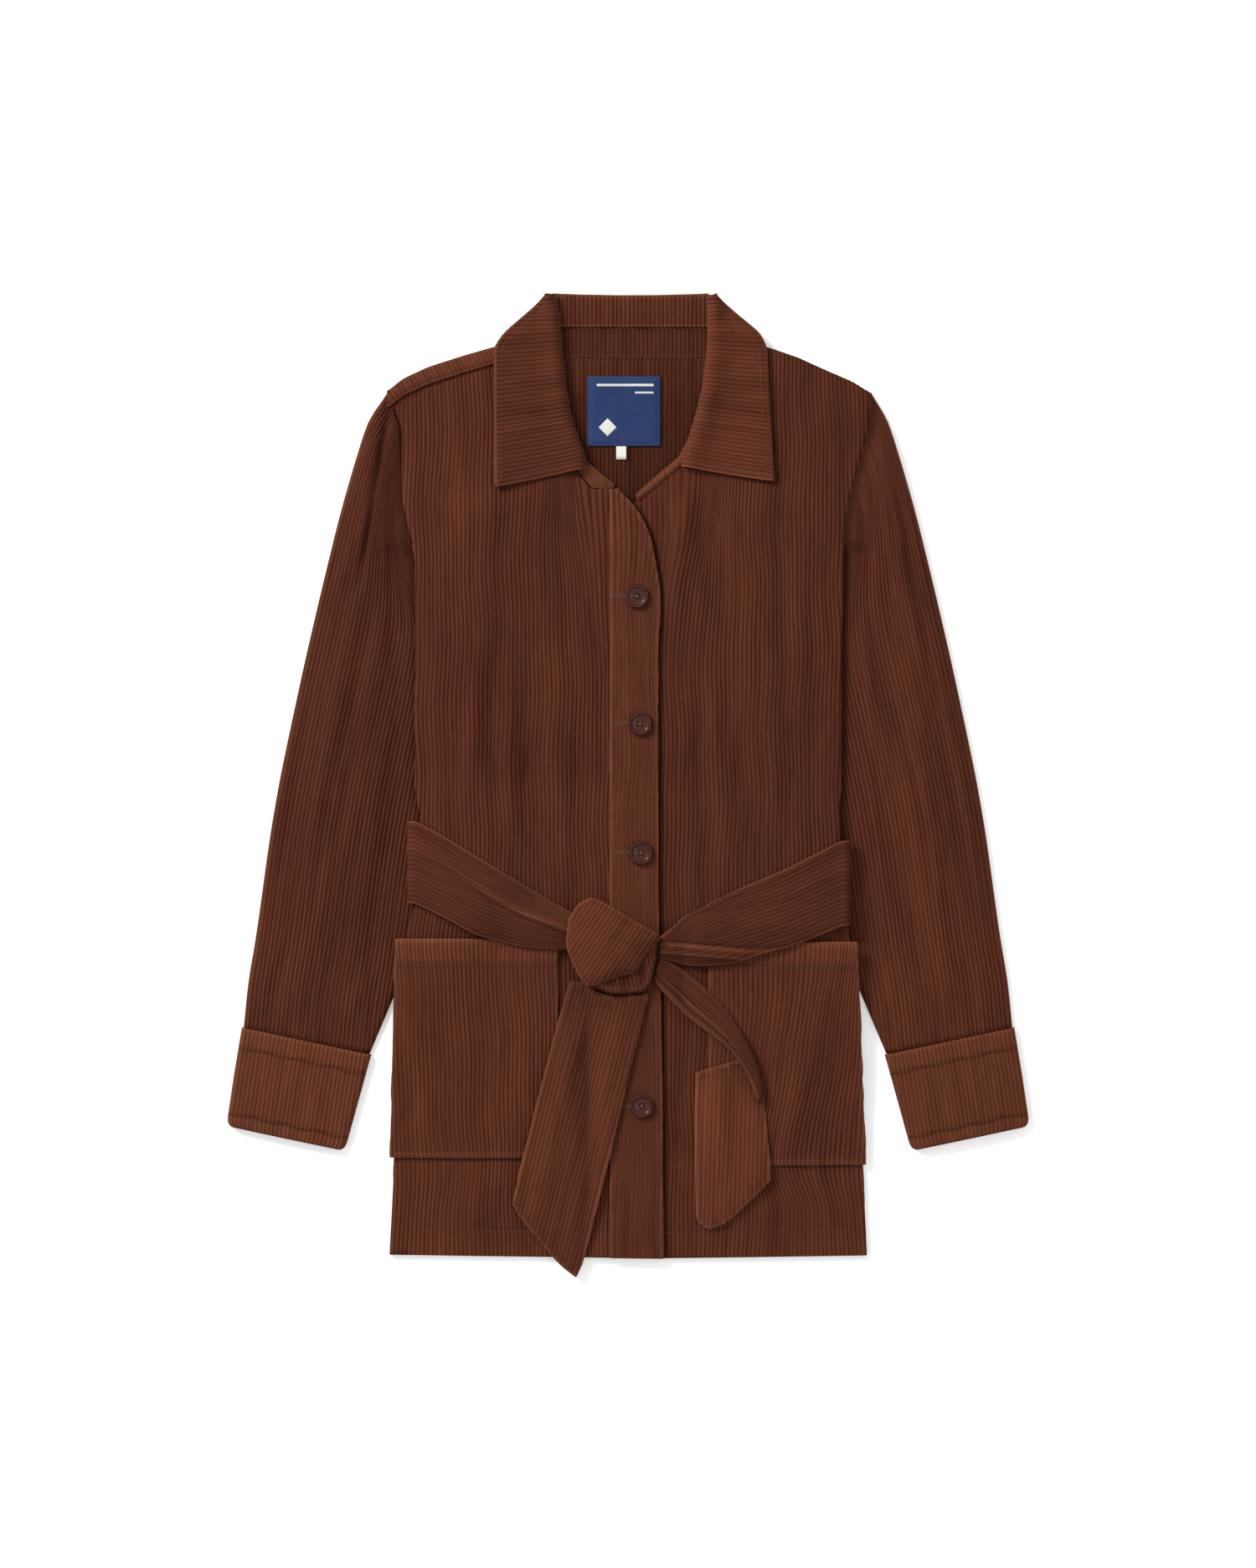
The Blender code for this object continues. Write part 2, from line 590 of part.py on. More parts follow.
def make_knot():
    """Rounded core that the hidden turns of the knot share, flat below."""
    bm = bmesh.new()
    bmesh.ops.create_grid(bm, x_segments=14, y_segments=12, size=0.5)
    for vert in bm.verts:
        u = vert.co.x + 0.5
        v = vert.co.y + 0.5
        y = mix(KNOT[0][0], KNOT[-1][0], v)
        x = mix(read(KNOT, y, 1), read(KNOT, y, 2), u)
        rise = (max(0.0, 1.0 - abs(2.0 * u - 1.0) ** 2.6) * max(0.0, 1.0 - abs(2.0 * v - 1.0) ** 3.0)) ** 0.5
        vert.co = (x, y, knot_floor + KNOT_WALL + KNOT_HEIGHT * rise)
    rim = [edge for edge in bm.edges if edge.is_boundary]
    skirt = bmesh.ops.extrude_edge_only(bm, edges=rim)["geom"]
    for part in skirt:
        if isinstance(part, bmesh.types.BMVert):
            part.co.z = knot_floor
    bmesh.ops.holes_fill(bm, edges=[edge for edge in bm.edges if edge.is_boundary])
    bmesh.ops.recalc_face_normals(bm, faces=bm.faces)
    keep("belt_knot", bm, corduroy)


def make_tails():
    def hang(table):
        def place(u, v):
            y = mix(table[0][0], table[-1][0], v)
            x = mix(read(table, y, 1), read(table, y, 2), u)
            return x, y, on_pocket(x, y)
        return place

    sheet("belt_tail_l", even(6), even(18), hang(TAIL_L), corduroy, DOUBLE)
    sheet("belt_tail_r", even(5), even(12), hang(TAIL_R), corduroy, DOUBLE)

    def turned(u, v):
        x, y = strip_of(TURN, v, u)
        over = (DOUBLE + LAY) * soft(0.25, 0.75, v)
        return x, y, on_pocket(x, y) + over

    sheet("belt_tail_turn", even(3), even(10), lambda u, v: turned(1.0 - u, 1.0 - v), corduroy, DOUBLE)


def make_buttons():
    for index, (x, y) in enumerate(BUTTONS):
        bm = bmesh.new()
        verts = [bm.verts.new((radius, 0.0, height)) for radius, height in BUTTON_PROFILE]
        edges = [bm.edges.new(pair) for pair in zip(verts, verts[1:])]
        bmesh.ops.spin(bm, geom=verts + edges, cent=(0.0, 0.0, 0.0), axis=(0.0, 0.0, 1.0),
                       angle=2.0 * math.pi, steps=BUTTON_STEPS, use_merge=True)
        bmesh.ops.remove_doubles(bm, verts=bm.verts, dist=0.00001)
        bmesh.ops.recalc_face_normals(bm, faces=bm.faces)
        item = keep(f"button_{index + 1}", bm, horn)
        item.location = (x, y, on_front(x, y) + DOUBLE + LAY + 2.0 * SEAM)


for old in list(bpy.data.objects):
    bpy.data.objects.remove(old)
jacket = bpy.data.collections.new("corduroy_jacket")
bpy.context.scene.collection.children.link(jacket)
corduroy = material("brown corduroy", (0.095, 0.028, 0.014), 0.85)
woven_blue = material("woven blue", (0.020, 0.042, 0.160), 0.70)
woven_white = material("woven white", (0.70, 0.68, 0.62), 0.80)
horn = material("dark button", (0.030, 0.008, 0.006), 0.25)
knot_floor = max(on_front(0.0, y) for y in (-0.176, -0.135, -0.095)) + DOUBLE + 3.0 * LAY

make_back()
make_fronts()
make_band()
make_sleeves()
make_pockets()
make_collar()
make_labels()
make_belt()
make_knot()
make_tails()
make_buttons()
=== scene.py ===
import math

import bmesh
import bpy
import numpy as np
from mathutils import Matrix, Vector
from mathutils.bvhtree import BVHTree


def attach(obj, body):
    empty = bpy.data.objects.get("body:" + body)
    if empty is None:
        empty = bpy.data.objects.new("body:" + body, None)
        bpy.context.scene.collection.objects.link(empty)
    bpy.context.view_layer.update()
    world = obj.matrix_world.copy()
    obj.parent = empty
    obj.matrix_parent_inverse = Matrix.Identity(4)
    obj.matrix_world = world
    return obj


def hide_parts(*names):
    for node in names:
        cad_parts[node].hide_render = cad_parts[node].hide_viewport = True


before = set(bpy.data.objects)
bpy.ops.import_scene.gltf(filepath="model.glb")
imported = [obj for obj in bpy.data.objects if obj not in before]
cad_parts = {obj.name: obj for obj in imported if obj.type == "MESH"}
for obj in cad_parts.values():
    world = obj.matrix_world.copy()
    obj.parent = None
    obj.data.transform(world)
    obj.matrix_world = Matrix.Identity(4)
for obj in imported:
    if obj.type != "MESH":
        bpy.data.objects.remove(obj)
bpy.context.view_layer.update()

print("frame loaded", len(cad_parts), "nodes")

cloth = {"wall": 0.0017, "double": 0.0028, "gap": 0.0009, "pitch": 0.00350, "relief": 0.00034, "perWale": 4}


# small helpers on arrays
def mix(a, b, t):
    return a + (b - a) * t


def soft(low, high, value):
    t = np.clip((value - low) / (high - low), 0.0, 1.0)
    return t * t * (3.0 - 2.0 * t)


def readCurve(rows, key, column=1, blur=0.0):
    # a table's column at a key, its corners rounded by blur
    keys = [row[0] for row in rows]
    values = [row[column] for row in rows]
    if blur == 0.0:
        return np.interp(key, keys, values)
    taps = ((-1.0, 0.15), (-0.5, 0.22), (0.0, 0.26), (0.5, 0.22), (1.0, 0.15))
    return sum(share * np.interp(key + step * blur, keys, values) for step, share in taps)


def bump(distance, width):
    return np.exp(-(distance / width) ** 2)


# how high each layer lies
body = {
    # y, left side x, right side x
    "sides": ((-0.3970, -0.1995, 0.1999), (-0.2600, -0.1925, 0.1930), (-0.1280, -0.1840, 0.1845),
              (-0.1000, -0.1780, 0.1800), (-0.0300, -0.1722, 0.1756), (-0.0050, -0.1775, 0.1775),
              (0.1910, -0.1775, 0.1788), (0.2140, -0.1845, 0.1805), (0.2400, -0.1900, 0.1850),
              (0.2770, -0.1908, 0.1957), (0.3000, -0.1915, 0.2020), (0.3280, -0.2020, 0.2034)),
    "hem": ((-0.1995, -0.3940), (-0.0120, -0.3965), (0.0290, -0.3970), (0.1999, -0.3946)),
    "shoulders": ((-0.2020, 0.3280), (-0.1887, 0.3390), (-0.1670, 0.3490), (-0.1387, 0.3580),
                  (-0.1117, 0.3656), (-0.0760, 0.3740), (-0.0660, 0.3640), (-0.0590, 0.3560),
                  (0.0680, 0.3560), (0.0740, 0.3640), (0.0790, 0.3740), (0.1130, 0.3667),
                  (0.1426, 0.3570), (0.1650, 0.3470), (0.1880, 0.3370), (0.2034, 0.3272)),
    "sleeveLift": 0.0065, "beltLift": 0.0038, "collarLift": 0.0038, "ease": 0.0048,
}
beltRows = {"topLeft": -0.030, "topRight": -0.041, "lowLeft": -0.097, "lowRight": -0.116, "ramp": 0.040}


def sideOf(y, hand):
    return readCurve(body["sides"], y, 1 if hand < 0 else 2, 0.006)


def sleeveLift(x, y):
    inward = np.interp(y, (-0.300, -0.185, -0.140, -0.085), (0.250, 0.188, 0.160, 0.128))
    across = soft(inward - 0.058, inward - 0.004, np.abs(x))
    return body["sleeveLift"] * across * (1.0 - soft(0.222, 0.282, y))


def beltLift(x, y):
    share = (x + 0.178) / 0.358
    top = mix(beltRows["topLeft"], beltRows["topRight"], share) + 0.004
    low = mix(beltRows["lowLeft"], beltRows["lowRight"], share) - 0.004
    ramp = beltRows["ramp"]
    return body["beltLift"] * soft(low - ramp, low, y) * (1.0 - soft(top, top + ramp, y))


def collarLift(x, y):
    return body["collarLift"] * soft(0.298, 0.340, y) * (1.0 - soft(0.116, 0.156, np.abs(x)))


def backAt(x, y):
    return sleeveLift(x, y) + beltLift(x, y) + collarLift(x, y)


# creases of the fronts: ends x, y, x, y, half width, height (below zero is a trough)
creases = (
    (-0.118, 0.120, -0.108, -0.020, 0.0085, -0.0030), (-0.100, 0.075, -0.094, -0.060, 0.0070, 0.0022),
    (-0.078, 0.040, -0.084, -0.080, 0.0070, -0.0026), (-0.060, 0.085, -0.062, -0.090, 0.0080, 0.0018),
    (-0.038, 0.030, -0.042, -0.100, 0.0060, -0.0020), (-0.138, 0.060, -0.135, -0.040, 0.0075, 0.0020),
    (-0.154, 0.150, -0.158, -0.010, 0.0080, -0.0020), (-0.168, 0.060, -0.165, -0.025, 0.0050, 0.0014),
    (-0.130, 0.250, -0.150, 0.160, 0.0140, 0.0022), (-0.060, 0.235, -0.050, 0.110, 0.0120, -0.0018),
    (-0.100, 0.230, -0.112, 0.130, 0.0120, -0.0014), (-0.028, 0.200, -0.026, 0.060, 0.0080, 0.0012),
    (0.046, 0.250, 0.040, 0.120, 0.0080, 0.0026), (0.060, 0.262, 0.078, 0.130, 0.0090, -0.0026),
    (0.082, 0.250, 0.105, 0.120, 0.0100, 0.0022), (0.120, 0.240, 0.128, 0.110, 0.0120, -0.0016),
    (0.150, 0.290, 0.152, 0.130, 0.0140, 0.0020), (0.058, 0.060, 0.055, -0.100, 0.0075, -0.0026),
    (0.078, 0.110, 0.076, -0.070, 0.0075, 0.0022), (0.098, 0.050, 0.095, -0.075, 0.0070, -0.0026),
    (0.118, 0.080, 0.116, -0.060, 0.0080, 0.0022), (0.138, 0.060, 0.140, -0.050, 0.0075, -0.0022),
    (0.158, 0.100, 0.160, -0.030, 0.0080, 0.0018), (-0.150, -0.140, -0.158, -0.300, 0.0120, 0.0014),
    (-0.110, -0.150, -0.115, -0.290, 0.0140, -0.0016), (-0.030, -0.190, -0.034, -0.380, 0.0080, -0.0020),
    (-0.048, -0.180, -0.050, -0.390, 0.0080, 0.0016), (-0.120, -0.320, -0.125, -0.392, 0.0160, 0.0020),
    (0.046, -0.180, 0.045, -0.390, 0.0070, -0.0018), (0.135, -0.170, 0.140, -0.300, 0.0130, 0.0018),
    (0.165, -0.150, 0.172, -0.360, 0.0110, -0.0016), (0.095, -0.330, 0.098, -0.392, 0.0150, 0.0016),
)


def creased(x, y):
    total = 0.0 * x
    for x0, y0, x1, y1, width, height in creases:
        length = math.hypot(x1 - x0, y1 - y0)
        along = ((x - x0) * (x1 - x0) + (y - y0) * (y1 - y0)) / length ** 2
        middle = x0 + (x1 - x0) * along + 0.0035 * np.sin(5.0 * along + 40.0 * x0)
        ends = soft(-0.12, 0.28, along) * (1.0 - soft(0.72, 1.12, along))
        total = total + 1.3 * height * bump(x - middle, width) * ends
    return total


def easeAt(x, y):
    edge = soft(0.0, 0.055, np.where(x < 0, -sideOf(y, -1), sideOf(y, 1)) - np.abs(x))
    ends = soft(-0.397, -0.345, y) * (1.0 - soft(0.215, 0.310, y))
    waist = 1.0 - 0.8 * soft(-0.220, -0.150, y) * (1.0 - soft(-0.030, 0.060, y))
    middle = mix(0.35, 1.0, soft(0.010, 0.070, np.abs(x)))
    swell = body["ease"] * edge * ends * waist * middle
    beltBand = 1.0 - 0.75 * soft(-0.150, -0.120, y) * (1.0 - soft(-0.050, -0.010, y))
    return np.maximum(swell + creased(x, y) * edge * beltBand * mix(0.35, 1.0, ends), 0.0)


def frontAt(x, y):
    return backAt(x, y) + cloth["wall"] + cloth["gap"] + 0.0004 + easeAt(x, y)


def onFront(x, y):
    return frontAt(x, y) + cloth["wall"] + cloth["gap"]


def onPocket(x, y):
    # above the pockets and the front band
    side = np.maximum(soft(0.028, 0.058, -x), soft(0.039, 0.067, x))
    pocket = (cloth["wall"] + 2.0 * cloth["gap"]) * side * soft(-0.100, -0.124, y) * soft(-0.352, -0.322, y)
    band = (cloth["double"] + 2.0 * cloth["gap"]) * soft(-0.040, -0.015, x) * (1.0 - soft(0.0305, 0.050, x))
    return onFront(x, y) + np.maximum(pocket, band)


# shader maths
class Wire:
    # a socket that takes part in sums
    tree = None

    def __init__(self, socket):
        self.socket = socket

    def maths(self, operation, other=None, flip=False):
        pair = (other, self) if flip else (self, other)
        return Wire.node("ShaderNodeMath", {"operation": operation},
                         {k: v for k, v in enumerate(pair) if v is not None})

    def __add__(self, other):
        return self.maths("ADD", other)

    def __radd__(self, other):
        return self.maths("ADD", other)

    def __sub__(self, other):
        return self.maths("SUBTRACT", other)

    def __rsub__(self, other):
        return self.maths("SUBTRACT", other, True)

    def __mul__(self, other):
        return self.maths("MULTIPLY", other)

    def __rmul__(self, other):
        return self.maths("MULTIPLY", other)

    def __truediv__(self, other):
        return self.maths("DIVIDE", other)

    def __pow__(self, other):
        return self.maths("POWER", other)

    def cosine(self):
        return self.maths("COSINE")

    @staticmethod
    def node(kind, settings=None, inputs=None, output=0):
        made = Wire.tree.nodes.new(kind)
        for name, value in (settings or {}).items():
            setattr(made, name, value)
        for name, value in (inputs or {}).items():
            if isinstance(value, Wire):
                Wire.tree.links.new(value.socket, made.inputs[name])
            else:
                made.inputs[name].default_value = value
        return Wire(made.outputs[output])


def colourMix(amount, first, second, blend="MIX"):
    made = Wire.node("ShaderNodeMix", {"data_type": "RGBA", "blend_type": blend}, {}, 2)
    node = made.socket.node
    for index, value in ((0, amount), (6, first), (7, second)):
        if isinstance(value, Wire):
            Wire.tree.links.new(value.socket, node.inputs[index])
        else:
            node.inputs[index].default_value = value
    return made


def newMaterial(name, constants):
    made = bpy.data.materials.new(name)
    made.use_nodes = True
    Wire.tree = made.node_tree
    shader = made.node_tree.nodes["Principled BSDF"]
    for socket, value in constants.items():
        shader.inputs[socket].default_value = value
    return made, shader


def feed(shader, socket, wire):
    Wire.tree.links.new(wire.socket, shader.inputs[socket])


corduroyLook = {
    "groove": (0.034, 0.0088, 0.0045, 1.0), "pile": (0.093, 0.0260, 0.0130, 1.0),
    # a lighter colour for worn places and for highlights painted on edges, folds and crests
    "rubbed": (0.190, 0.064, 0.031, 1.0),
    "bumpHeight": 0.00060, "fibre": 0.00016, "streak": 0.00010, "ridgePower": 0.62,
    "constants": {"Roughness": 0.86, "Sheen Weight": 0.12, "Sheen Roughness": 0.45,
                  "Sheen Tint": (0.72, 0.36, 0.24, 1.0), "Specular IOR Level": 0.03},
}


def corduroyMaterial():
    look = corduroyLook
    made, shader = newMaterial("corduroy", look["constants"])
    uv = Wire.node("ShaderNodeUVMap", {"uv_map": "cloth"})
    split = Wire.node("ShaderNodeSeparateXYZ", {}, {0: uv}).socket.node
    across, along = Wire(split.outputs[0]), Wire(split.outputs[1])
    tone = Wire.node("ShaderNodeAttribute", {"attribute_name": "tone"}, {}, 2)
    wale = Wire.node("ShaderNodeAttribute", {"attribute_name": "wale"}, {}, 2)
    rubbed = Wire.node("ShaderNodeAttribute", {"attribute_name": "rubbed"}, {}, 2)

    def noise(sizeAcross, sizeAlong, detail, rough=0.55):
        place = Wire.node("ShaderNodeCombineXYZ", {}, {0: across / sizeAcross, 1: along / sizeAlong})
        return Wire.node("ShaderNodeTexNoise", {"noise_dimensions": "2D"},
                         {"Vector": place, "Scale": 1.0, "Detail": detail, "Roughness": rough}, 0)

    wander = (noise(0.030, 0.050, 1.0) - 0.5) * 0.25
    ridge = ((across / cloth["pitch"] + wander * 0.2) * (2.0 * math.pi)).cosine() * 0.5 + 0.5
    full = ridge ** look["ridgePower"]
    streak = noise(0.0034, 0.1500, 2.0) * 0.55 + noise(0.0030, 0.0220, 2.0) * 0.45
    fleck = noise(0.0009, 0.0016, 2.0, 0.6)
    cloud = noise(0.060, 0.110, 3.0, 0.5)
    patch = Wire.node("ShaderNodeClamp", {}, {0: (noise(0.040, 0.085, 2.0) - 0.5) * 2.6 + 0.78})
    group = noise(0.0130, 0.1600, 2.0)
    lit = (full - 0.62) * wale * patch * 0.95 + 0.60 + (streak - 0.5) * 1.05 + (fleck - 0.5) * 0.36
    lit = lit + (cloud - 0.5) * 0.40 + (group - 0.5) * 0.85
    lit = Wire.node("ShaderNodeClamp", {}, {0: lit * 0.84})
    colour = colourMix(lit, look["groove"], look["pile"])
    # mixes in the lighter colour where the cloth is worn and where a highlight is painted on edges, folds and
    # crests
    colour = colourMix(rubbed * (streak * 0.5 + 0.5), colour, look["rubbed"])
    shade = Wire.node("ShaderNodeCombineColor", {}, {0: tone, 1: tone, 2: tone})
    colour = colourMix(1.0, colour, shade, "MULTIPLY")
    feed(shader, "Base Color", colour)
    feed(shader, "Roughness", 0.92 - full * 0.10 - (fleck - 0.5) * 0.08)
    height = full * wale * look["bumpHeight"] + fleck * look["fibre"] + streak * look["streak"]
    feed(shader, "Normal", Wire.node("ShaderNodeBump", {}, {
        "Strength": 0.85, "Distance": 1.0, "Height": height}))
    return made


corduroy = corduroyMaterial()
print("corduroy ready")


# sheets of cloth
def lattice(name, columns, rows, place):
    # a grid moved point by point: place gives x, y, z, across, along, tone, wale, the wear and painted
    # highlight mask and a dropped mask
    bm = bmesh.new()
    bmesh.ops.create_grid(bm, x_segments=columns, y_segments=rows, size=0.5)
    mesh = bpy.data.meshes.new(name)
    bm.to_mesh(mesh)
    bm.free()
    count = len(mesh.vertices)
    flat = np.empty(count * 3, dtype=np.float32)
    mesh.vertices.foreach_get("co", flat)
    flat = flat.reshape(-1, 3)
    u = np.round((flat[:, 0] + 0.5) * columns).astype(float) / columns
    v = np.round((flat[:, 1] + 0.5) * rows).astype(float) / rows
    given = place(u, v)
    moved = np.stack([given["x"], given["y"], given["z"]], 1)
    mesh.vertices.foreach_set("co", moved.astype(np.float32).ravel())
    for key, usual in (("tone", 1.0), ("wale", 1.0), ("rubbed", 0.0)):
        values = np.broadcast_to(given.get(key, usual), (count,)).astype(np.float32)
        mesh.attributes.new(key, "FLOAT", "POINT").data.foreach_set("value", np.ascontiguousarray(values))
    corner = np.empty(len(mesh.loops), dtype=np.int32)
    mesh.loops.foreach_get("vertex_index", corner)
    across = np.stack([given["across"], given["along"]], 1)[corner]
    layer = mesh.uv_layers.new(name="cloth")
    layer.data.foreach_set("uv", across.astype(np.float32).ravel())
    if "dropped" in given:
        dropped = given["dropped"]
        bm = bmesh.new()
        bm.from_mesh(mesh)
        bm.verts.ensure_lookup_table()
        gone = [face for face in bm.faces if all(dropped[vert.index] for vert in face.verts)]
        bmesh.ops.delete(bm, geom=gone, context="FACES")
        bmesh.ops.remove_doubles(bm, verts=bm.verts, dist=0.00003)
        bmesh.ops.dissolve_degenerate(bm, edges=bm.edges, dist=0.00001)
        bm.to_mesh(mesh)
        bm.free()
    return mesh


def faceUp(mesh):
    # turns the sheet over when its top faces down
    bm = bmesh.new()
    bm.from_mesh(mesh)
    highest = max(bm.faces, key=lambda face: face.calc_center_median().z)
    if highest.normal.z < 0.0:
        bmesh.ops.reverse_faces(bm, faces=bm.faces)
    bm.to_mesh(mesh)
    bm.free()


def finishPiece(mesh, name, nodes, look, wall=None, offset=1.0):
    mesh.materials.clear()
    mesh.materials.append(look)
    mesh.shade_smooth()
    piece = bpy.data.objects.new(name, mesh)
    bpy.context.scene.collection.objects.link(piece)
    if wall:
        shell = piece.modifiers.new("wall", "SOLIDIFY")
        shell.thickness = wall
        shell.offset = offset
    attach(piece, "root")
    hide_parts(*nodes)
    return piece


def waleRise(across, strength=1.0):
    # broad ridges with narrow grooves between them
    ridge = 0.5 + 0.5 * np.cos(2.0 * math.pi * across / cloth["pitch"])
    return cloth["relief"] * strength * ridge ** 0.62


def fineCount(length):
    return max(2, int(round(length / cloth["pitch"] * cloth["perWale"])))


def leanAt(x, y):
    # how far the wales lean away from upright
    upper = soft(0.100, 0.200, y) * (np.minimum(y, 0.255) - 0.130)
    lean = 0.15 * upper * bump(x - 0.045, 0.030) - 0.12 * upper * bump(x + 0.032, 0.022)
    pocket = soft(-0.100, -0.140, y) * soft(-0.360, -0.310, y)
    lean = lean + 0.16 * (y + 0.245) * bump(x - 0.150, 0.050) * pocket
    lean = lean - 0.05 * (y + 0.245) * bump(x + 0.150, 0.050) * pocket
    return lean + 0.0009 * np.sin(38.0 * y + 24.0 * x) + 0.0006 * np.sin(71.0 * y - 40.0 * x)


def panelMesh(name, shape, height):
    # wales up the panel, its lattice clamped to the four edge curves
    step = cloth["pitch"] / shape.get("perWale", cloth["perWale"])
    first = math.floor(shape["x"][0] / step) - 20
    last = math.ceil(shape["x"][1] / step) + 20
    rows = int((shape["y"][1] - shape["y"][0]) / shape["rowStep"]) + 1

    def place(u, v):
        x = mix(first, last, u) * step
        y = mix(shape["y"][0] - 0.004, shape["y"][1] + 0.004, v)
        lean = leanAt if shape.get("leans", True) else (lambda x, y: 0.0 * x)
        x = x + lean(x, y)
        cleanX, cleanY = x.copy(), y.copy()
        for _ in range(4):
            x = np.clip(cleanX, shape["left"](y), shape["right"](y))
            y = np.clip(cleanY, shape["low"](x), shape["high"](x))
        outside = (np.abs(x - cleanX) > 1e-7) | (np.abs(y - cleanY) > 1e-7)
        fade = shape["fade"](x, y) if "fade" in shape else 1.0
        upright = x - lean(x - lean(x, y), y)
        made = {"x": x, "y": y, "across": upright, "along": y, "dropped": outside}
        made["z"] = height(x, y) + waleRise(upright, shape.get("strength", 1.0)) * fade
        made["wale"] = shape.get("strength", 1.0) * fade
        for key in ("tone", "rubbed"):
            if key in shape:
                made[key] = shape[key](x, y)
        return made

    return lattice(name, last - first, rows, place)


bandPiece = {
    "edge": ((-0.3970, 0.0284), (-0.2600, 0.0280), (-0.1800, 0.0266), (-0.0900, 0.0243), (0.1150, 0.0243),
             (0.1480, 0.0264), (0.1640, 0.0262), (0.1800, 0.0237), (0.2070, 0.0182), (0.2217, 0.0120),
             (0.2337, 0.0036), (0.2466, -0.0105)),
    "left": -0.0142, "stitchIn": 0.0044, "strength": 0.9, "rowStep": 0.0050,
    "flat": (0.040, 0.643), "area": 0.0246,
}


# body
backPiece = {"x": (-0.2020, 0.2034), "y": (-0.397, 0.375), "rowStep": 0.0085, "perWale": 1, "leans": False,
             "flat": (0.404, 0.770), "area": 0.285}


def makeBack():
    shape = dict(backPiece)
    shape["left"] = lambda y: sideOf(y, -1)
    shape["right"] = lambda y: sideOf(y, 1)
    shape["low"] = lambda x: readCurve(body["hem"], x)
    shape["high"] = lambda x: readCurve(body["shoulders"], x, 1, 0.004)
    # painted shade: the back's inside is darker, most of all low in the neck opening
    shape["tone"] = lambda x, y: 0.80 + 0.1 * soft(0.30, 0.36, y) - 0.12 * soft(0.330, 0.270, y)
    mesh = panelMesh("back", shape, lambda x, y: backAt(x, y) - waleRise(x) + 0.00002)
    # the bump carries the wales here, as the panel lies below the fronts
    piece = finishPiece(mesh, "backPanel", ("back",), corduroy, cloth["wall"])


frontNecks = {
    "left": ((-0.0960, 0.3590), (-0.0930, 0.3655), (-0.0790, 0.3520), (-0.0740, 0.3300), (-0.0660, 0.3020),
             (-0.0540, 0.2770), (-0.0400, 0.2580), (-0.0310, 0.2468), (-0.0126, 0.2466)),
    "right": ((-0.0080, 0.2320), (0.0080, 0.2365), (0.0200, 0.2450), (0.0460, 0.2655), (0.0620, 0.2870),
              (0.0720, 0.3110), (0.0790, 0.3460), (0.0850, 0.3728), (0.1130, 0.3664), (0.1426, 0.3567),
              (0.1650, 0.3467), (0.1880, 0.3367), (0.2034, 0.3270)),
    "forward": 0.0116, "bandEdge": -0.0126, "underEdge": -0.0080, "rowStep": 0.0068,
    "leftFlat": (0.190, 0.765), "leftArea": 0.132, "rightFlat": (0.210, 0.770), "rightArea": 0.143,
}


hemPiece = {"stitch": -0.3755, "flatten": 0.55, "shade": 0.10}


def hemFlatten(x, y):
    # the hem's stitch line pulls the wales flat
    return 1.0 - hemPiece["flatten"] * bump(y - hemPiece["stitch"], 0.0012)


def bodyTone(x, y):
    tone = 1.0 + 0.10 * soft(-0.370, -0.380, y) - hemPiece["shade"] * bump(y - hemPiece["stitch"], 0.0020)
    side = np.where(x < 0, -sideOf(y, -1), sideOf(y, 1)) - np.abs(x)
    tone = tone * (1.0 + 0.22 * soft(-0.300, -0.322, y))
    # the shaded strip beside the band's free edge
    beside = x - readCurve(bandPiece["edge"], y, 1, 0.006)
    tone = tone * (1.0 - 0.70 * soft(0.0052, 0.0010, beside) * soft(-0.006, -0.003, beside) * soft(
        0.246, 0.225, y))
    # painted light and shade: lighter on the creases' ridges, darker in their troughs
    return tone * (1.0 + 0.10 * bump(side, 0.005)) * (1.0 + 20.0 * creased(x, y))


def rollEdge(distance, width=0.0030, drop=0.0008):
    # lowers a sheet's last few millimetres
    return -drop * (1.0 - np.clip(distance / width, 0.0, 1.0)) ** 2


def makeFronts():
    necks = frontNecks

    def leftTop(x):
        forward = readCurve(body["shoulders"], x, 1, 0.004) - necks["forward"]
        return np.where(x < -0.0940, forward, readCurve(necks["left"], x, 1, 0.002))

    def sideRoll(x, y):
        side = np.where(x < 0, -sideOf(y, -1), sideOf(y, 1)) - np.abs(x)
        return frontAt(x, y) + rollEdge(side, 0.004, 0.0010)

    left = {"x": (-0.2020, necks["bandEdge"]), "y": (-0.397, 0.367), "rowStep": necks["rowStep"],
            "left": lambda y: sideOf(y, -1), "right": lambda y: 0.0 * y + necks["bandEdge"],
            "low": lambda x: readCurve(body["hem"], x), "high": leftTop, "fade": hemFlatten, "tone": bodyTone}
    mesh = panelMesh("frontLeft", left, lambda x, y: sideRoll(x, y) + 0.0012 * soft(-0.050, -0.0123, x))
    piece = finishPiece(mesh, "frontLeft", ("front_l",), corduroy, cloth["wall"])

    right = {"x": (necks["underEdge"], 0.2034), "y": (-0.397, 0.374), "rowStep": necks["rowStep"],
             "left": lambda y: 0.0 * y + necks["underEdge"], "right": lambda y: sideOf(y, 1),
             "low": lambda x: readCurve(body["hem"], x),
             "high": lambda x: readCurve(necks["right"], x, 1, 0.002),
             "fade": hemFlatten, "tone": bodyTone}
    mesh = panelMesh("frontRight", right, sideRoll)
    piece = finishPiece(mesh, "frontRight", ("front_r",), corduroy, cloth["wall"])


makeBack()
makeFronts()
print("body done")


